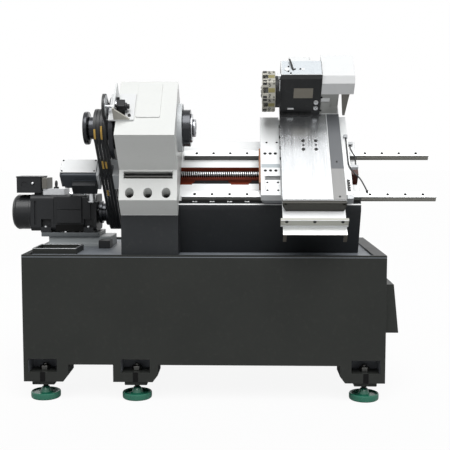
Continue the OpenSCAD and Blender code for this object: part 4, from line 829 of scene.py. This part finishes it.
# The blue-grey strips on the wing's step and the dark recess floor are painted shade where the step sits in
# shadow.
wing_right = saddle_left + 0.0885
blocks("wing_step_shade_sheets", [between((saddle_left + 0.003, 0.107, 0.091), (wing_right, 0.1235, 0.0925)),
                      between((saddle_left + 0.003, 0.1245, 0.088), (wing_right, 0.1335, 0.0895))],
       step_shade_blue, "carriage", 0.0004)
blocks("wing_recess_floor", [between((saddle_left + 0.0205, 0.0305, 0.083), (wing_right, 0.0555, 0.0845)),
                             between((saddle_left + 0.017, -0.03, 0.091),
                                     (saddle_left + 0.0192, 0.056, 0.0926))],
       step_grey, "carriage", 0.0004)


def smooth_path(points, parts=8):
    ends = [points[0] * 2.0 - points[1]] + points + [points[-1] * 2.0 - points[-2]]
    path = []
    for before, start, stop, after in zip(ends, ends[1:], ends[2:], ends[3:]):
        for step in range(parts):
            t = step / parts
            square = 2.0 * before - 5.0 * start + 4.0 * stop - after
            cube = 3.0 * start - before - 3.0 * stop + after
            path.append(0.5 * (2.0 * start + (stop - before) * t + square * t ** 2 + cube * t ** 3))
    return path + [points[-1]]


def hose_rings(bm, start, steps, radius):
    path = smooth_path([start + Vector(p) for p in steps])
    loops = []
    for i, spot in enumerate(path):
        way = path[min(i + 1, len(path) - 1)] - path[max(i - 1, 0)]
        place = Matrix.Translation(spot) @ way.to_track_quat("Z", "Y").to_matrix().to_4x4()
        loops.append(ring_edges(bm, 12, radius, place, i in (0, len(path) - 1)))
    for first, second in zip(loops, loops[1:]):
        bmesh.ops.bridge_loops(bm, edges=first + second)


HOSE_RADIUS = 0.0032
tube_black = rubber("oil_tube_black", (0.016, 0.017, 0.018), 0.34)
hoses_bm = bmesh.new()
saddle_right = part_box("saddle")[1].x
long_start = Vector((saddle_right - 0.0095, 0.297, 0.097))
hose_rings(hoses_bm, long_start, (
    (0.0, 0.0, 0.0), (0.0, -0.06, 0.0), (0.0, -0.13, 0.0), (0.002, -0.18, 0.0), (0.021, -0.225, 0.0),
    (0.045, -0.262, 0.0), (0.062, -0.31, 0.0), (0.07, -0.34, 0.0)), HOSE_RADIUS)
short_start = Vector((saddle_right + 0.0115, 0.271, 0.072))
hose_rings(hoses_bm, short_start, (
    (0.0, 0.0, 0.0), (0.0, -0.022, 0.0), (0.007, -0.046, 0.0), (0.0155, -0.07, 0.0), (0.0165, -0.1, 0.0),
    (0.0165, -0.134, 0.0)), HOSE_RADIUS)
bmesh.ops.transform(hoses_bm, matrix=SLOPE, verts=hoses_bm.verts)
hoses = fit_piece("oil_hoses", hoses_bm, tube_black, "carriage", 60.0)
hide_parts("oil_tubes")
tube_ends = [long_start + Vector((0.07, -0.336, 0.0)), short_start + Vector((0.0165, -0.13, 0.0))]
end_profile = [(0.0, 0.0), (0.0048, 0.0), (0.0054, 0.0006), (0.0054, 0.008), (0.0044, 0.009), (0.0044, 0.014),
               (0.0, 0.0148)]
turned("oil_tube_ends", end_profile, [facing_down_slope(*end) for end in tube_ends], screw_black, "carriage",
       24)
eased_edges("x_motor_bracket", bracket_grey, 0.002)
eased_edges("x_servo_motor", white_paint, 0.003)
sheet_steel = machined("bright_sheet", (0.82, 0.83, 0.83), (0.92, 0.93, 0.93), 0.34, (420.0, 4.0, 420.0),
                       metallic=0.85, tilt=-45.0, depth=0.01)
recoloured(sheet_steel, band(sheet_steel, "Y", -0.3, -0.2628), (0.12, 0.11, 0.095))
eased_edges("lower_way_cover", sheet_steel, 0.0006)


# Cross slide
# A thick milled plate carries the turret up and down the slope. A bright sheet covers most of its top and a
# wiper bar finishes the cover at its lower end.
slide_iron = machined("cross_slide_iron", (0.74, 0.75, 0.75), (0.86, 0.87, 0.87), 0.44, (500.0, 6.0, 500.0),
                      metallic=0.25, tilt=-45.0)
recoloured(slide_iron, band(slide_iron, "X", 0.3, 0.3123), (0.06, 0.063, 0.066))
eased_edges("cross_slide", slide_iron, 0.0015)
side_bolts = [slope_spot(0.3122, u, 0.128) @ rotate(-90.0, "Y") for u in (0.13, 0.2, 0.27, 0.34)]
screws("slide_side_bolts", side_bolts, 0.0075, 0.0062, "cross_slide")
polished_sheet = machined("polished_slide_sheet", (0.66, 0.675, 0.69), (0.76, 0.77, 0.78), 0.22,
                          (260.0, 3.0, 260.0), tilt=-45.0, depth=0.0)
eased_edges("slide_cover", polished_sheet, 0.0005)
strip_steel = machined("side_strip_steel", (0.3, 0.3, 0.296), (0.38, 0.38, 0.376), 0.42, (500.0, 5.0, 500.0),
                       metallic=0.25, tilt=-45.0)
recoloured(strip_steel, band(strip_steel, "Y", 0.046, 0.6), (0.095, 0.1, 0.107))
eased_edges("slide_side_strip", strip_steel, 0.0005)
# The end plate's dark brown is partly oil and partly painted shade on its down-facing face.
end_iron = machined("oiled_and_shaded_end_plate", (0.055, 0.053, 0.045), (0.085, 0.082, 0.07), 0.42, (300.0, 300.0, 5.0),
                    metallic=0.5)
eased_edges("slide_end_plate", end_iron, 0.001)
# The upper sheet is matte white rather than bright metal: painted reflection of the sky it would mirror.
bar_beige = machined("wiper_bar_and_sheet", (0.86, 0.87, 0.87), (0.94, 0.95, 0.95), 0.4, (420.0, 4.0, 420.0),
                     metallic=0.0, tilt=-45.0, depth=0.01)
recoloured(bar_beige, band(bar_beige, "Y", -0.3, -0.2049), (0.42, 0.42, 0.37))
eased_edges("upper_way_cover", bar_beige, 0.0006)
screws("wiper_bar_screws", [facing_down_slope(x, -0.2125, 0.09) for x in (0.3295, 0.4515, 0.5735)], 0.0075,
       0.006, "cross_slide")
wiper_lips = [between((0.3037, -0.2185, low), (0.5993, -0.2155, high))
              for low, high in ((0.0985, 0.1019), (0.0586, 0.066))]
blocks("wiper_lips", wiper_lips, white_paint, "cross_slide")
COVER_BOLT_X = (0.4155, 0.4735)
COVER_BOLT_W = 0.1452
screws("slide_cover_bolts", [slope_spot(x, u, COVER_BOLT_W) for x in COVER_BOLT_X for u in (0.168, 0.223)],
       0.0088, 0.0066, "cross_slide")
screws("slide_cover_pins", [slope_spot(x, 0.1955, COVER_BOLT_W) for x in COVER_BOLT_X], 0.0056, 0.0066,
       "cross_slide")
screws("side_strip_screws", [slope_spot(0.5617, u, 0.1495) for u in (-0.1224, 0.0889)], 0.0048, 0.002,
       "cross_slide")
comb_low = Vector((0.6085, -0.0375, 0.092))
TOOTH_PITCH = 0.0145
comb = [between(comb_low, comb_low + Vector((0.006, 0.067, 0.006)))]
for i in range(5):
    comb.append(between(comb_low + Vector((0.005, TOOTH_PITCH * i, 0.0)),
                        comb_low + Vector((0.013, TOOTH_PITCH * i + 0.007, 0.005))))
blocks("wing_comb", comb, screw_black, "carriage", 0.0008)


# Turret
# A black box housing on the slide turns an eight-sided tool disc. A white sheet cover hides its motor and a
# grey gear housing stands below.
turret_black = painted("turret_black_paint", (0.014, 0.0145, 0.015), (0.024, 0.025, 0.026),
                       (0.07, 0.07, 0.07), 0.46, shine=0.25)
eased_edges("turret_housing", turret_black, 0.002)
top_plate = machined("speckled_top_plate", (0.42, 0.45, 0.47), (0.8, 0.83, 0.85), 0.5, 230.0, metallic=0.1)
blocks("turret_top_plate", [between((0.3135, 0.4205, 0.3775), (0.4985, 0.5145, 0.3805)),
                            between((0.459, 0.4225, 0.3795), (0.4965, 0.5125, 0.3812))],
       top_plate, "cross_slide")
blocks("turret_top_edges", [between((0.3118, 0.4187, 0.3768), (0.5002, 0.4213, 0.3802)),
                            between((0.3118, 0.4213, 0.3768), (0.3158, 0.5153, 0.3808))],
       white_paint, "cross_slide", 0.0008)
valve_profile = [(0.0, 0.0), (0.0125, 0.0), (0.0125, 0.003), (0.0105, 0.0042), (0.0, 0.0042)]
turned("turret_valve", valve_profile, [slope_spot(0.3392, 0.4539, 0.3804)], white_paint, "cross_slide",
       36)
lever_bm = bmesh.new()
hose_rings(lever_bm, Vector(), (
    (0.3525, 0.51, 0.393), (0.3545, 0.498, 0.393), (0.3595, 0.482, 0.391), (0.3635, 0.462, 0.387),
    (0.3687, 0.447, 0.382)), 0.0042)
bmesh.ops.transform(lever_bm, matrix=SLOPE, verts=lever_bm.verts)
fit_piece("turret_lever", lever_bm, screw_black, "cross_slide", 60.0)
top_spots = ((0.3467, 0.4729), (0.3456, 0.4398), (0.3759, 0.4551), (0.4002, 0.4551), (0.3564, 0.4265))
screws("turret_top_screws", [slope_spot(x, u, 0.3804) for x, u in top_spots], 0.0042, 0.003, "cross_slide")
plate_tan = painted("bare_plate", (0.16, 0.145, 0.115), (0.23, 0.21, 0.17), (0.3, 0.28, 0.23), 0.45)
gear_grey = painted("gear_housing_paint", (0.29, 0.295, 0.28), (0.35, 0.355, 0.34), (0.4, 0.4, 0.39), 0.42)
for name, low, high, material, slot, bevel in (
    ("turret_top_patch", (0.4065, 0.4475, 0.3803), (0.4205, 0.4625, 0.3818), white_paint, "white_paint",
     0.0005),
    ("turret_plate", (0.3727, 0.4033, 0.2504), (0.4617, 0.4048, 0.3099), plate_tan, "ground_steel", 0.0004),
    ("turret_mark", (0.3476, 0.4037, 0.1784), (0.3764, 0.4048, 0.1885), white_paint, "white_paint", 0.0003),
    ("turret_flange", (0.3125, 0.3865, 0.1502), (0.461, 0.4047, 0.1575), turret_black, "black_paint", 0.0015),
    ("gear_window", (0.5022, 0.411, 0.2215), (0.5436, 0.4128, 0.2432), white_paint, "white_paint", 0.0006),
    ("gear_panel", (0.504, 0.4105, 0.1775), (0.547, 0.4128, 0.2185), gear_grey, "grey_paint", 0.0008),
):
    blocks(name, [between(low, high)], material, "cross_slide", bevel)
flange_screws = [slope_spot(x, 0.3945, 0.1574) for x in (0.3391, 0.37, 0.4007, 0.4315)]
screws("turret_flange_screws", flange_screws, 0.0055, 0.005, "cross_slide")
sight_spots = [facing_down_slope(0.4795, 0.4045, w) for w in (0.19, 0.225)]
turned("sight_rings", [(0.0066, 0.0052), (0.0066, 0.0075), (0.0102, 0.0075), (0.0104, 0.0)], sight_spots,
       silver, "cross_slide", 36)
turned("sight_centres", [(0.0, 0.0062), (0.0022, 0.0058), (0.0026, 0.005)], sight_spots, dark_steel,
       "cross_slide", 20)
glass, _, glass_shader = new_finish("sight_glass")
glass_shader.inputs["Base Color"].default_value = (0.88, 0.89, 0.89, 1.0)
glass_shader.inputs["Roughness"].default_value = 0.12
dress(glass, "turret_sight_glasses")
eased_edges("turret_motor_cover", white_paint, 0.002)
eased_edges("turret_gear_housing", gear_grey, 0.002)
gear_spots = ((0.5045, 0.2475), (0.505, 0.1658))
screws("gear_screws", [facing_down_slope(x, 0.4125, w) for x, w in gear_spots], 0.0045, 0.004, "cross_slide")
duct_brown = painted("cable_duct_plastic", (0.15, 0.144, 0.13), (0.21, 0.2, 0.18), (0.2, 0.19, 0.17), 0.45,
                     shine=0.3)
eased_edges("cable_duct", duct_brown, 0.0015)
blocks("coolant_nozzle", [between((0.2955, 0.412, 0.3725), (0.3105, 0.43, 0.3795)),
                          between((0.2985, 0.416, 0.352), (0.3095, 0.428, 0.3735))],
       silver, "cross_slide", 0.0012)
turned("coolant_pipe", [(0.0, 0.0), (0.0034, 0.0), (0.0034, 0.07), (0.0, 0.07)],
       [slope_spot(0.3065, 0.409, 0.284)], silver, "cross_slide", 20)
disc_steel = machined("turret_disc_steel", (0.36, 0.355, 0.32), (0.52, 0.51, 0.46), 0.38, 400.0,
                      metallic=0.55)
eased_edges("turret_disc", disc_steel, 0.0015)
dress(dark_steel, "tool_wedges")
STATIONS = range(8)
FACET_OUT = 0.0924
TURRET_LINE = (0.46, 0.241)


def on_facet(station, x, t, sink=0.0015):
    return (slope_spot(x, *TURRET_LINE) @ rotate(45.0 * station, "X") @ move(0.0, FACET_OUT - sink, t)
            @ rotate(-90.0, "X"))


facet_screws = [on_facet(i, x, t) for i in STATIONS for x in (0.259, 0.28) for t in (-0.0315, 0.0315)]
screws("facet_screws", facet_screws, 0.0042, 0.0022, "turret")
screws("facet_sockets", [on_facet(i, 0.261, t) for i in STATIONS for t in (-0.022, 0.022)], 0.0055, 0.0022,
       "turret")
# Black blocks at the slot openings stand for the dark inside the slots: painted shadow.
mouths = [(on_facet(i, 0.239, t, 0.0005), Vector((0.018, 0.011, 0.003)))
          for i in STATIONS for t in (-0.0305, 0.0305)]
blocks("slot_mouth_shadows", mouths, screw_black, "turret", 0.0006)
disc_axis = slope_spot(0.0, *TURRET_LINE) @ AXIS_X
disc_profile = [(0.0, 0.2235), (0.026, 0.2235), (0.03, 0.2245), (0.031, 0.2285), (0.0, 0.2285)]
turned("disc_hub", disc_profile, [disc_axis], disc_steel, "turret", 48)
hub_screws = [disc_axis @ rotate(60.0 * i, "Z") @ move(0.021, 0.0, 0.224) @ FLIPPED for i in range(6)]
screws("disc_hub_screws", hub_screws, 0.0042, 0.0025, "turret")
brass = machined("brass_coolant_block", (0.25, 0.225, 0.1), (0.38, 0.345, 0.17), 0.36, 200.0, metallic=0.4)
coolant_blocks = [(on_facet(i, 0.2695, 0.0, 0.0005), Vector((0.03, 0.02, 0.003))) for i in STATIONS]
blocks("coolant_blocks", coolant_blocks, brass, "turret", 0.0008)
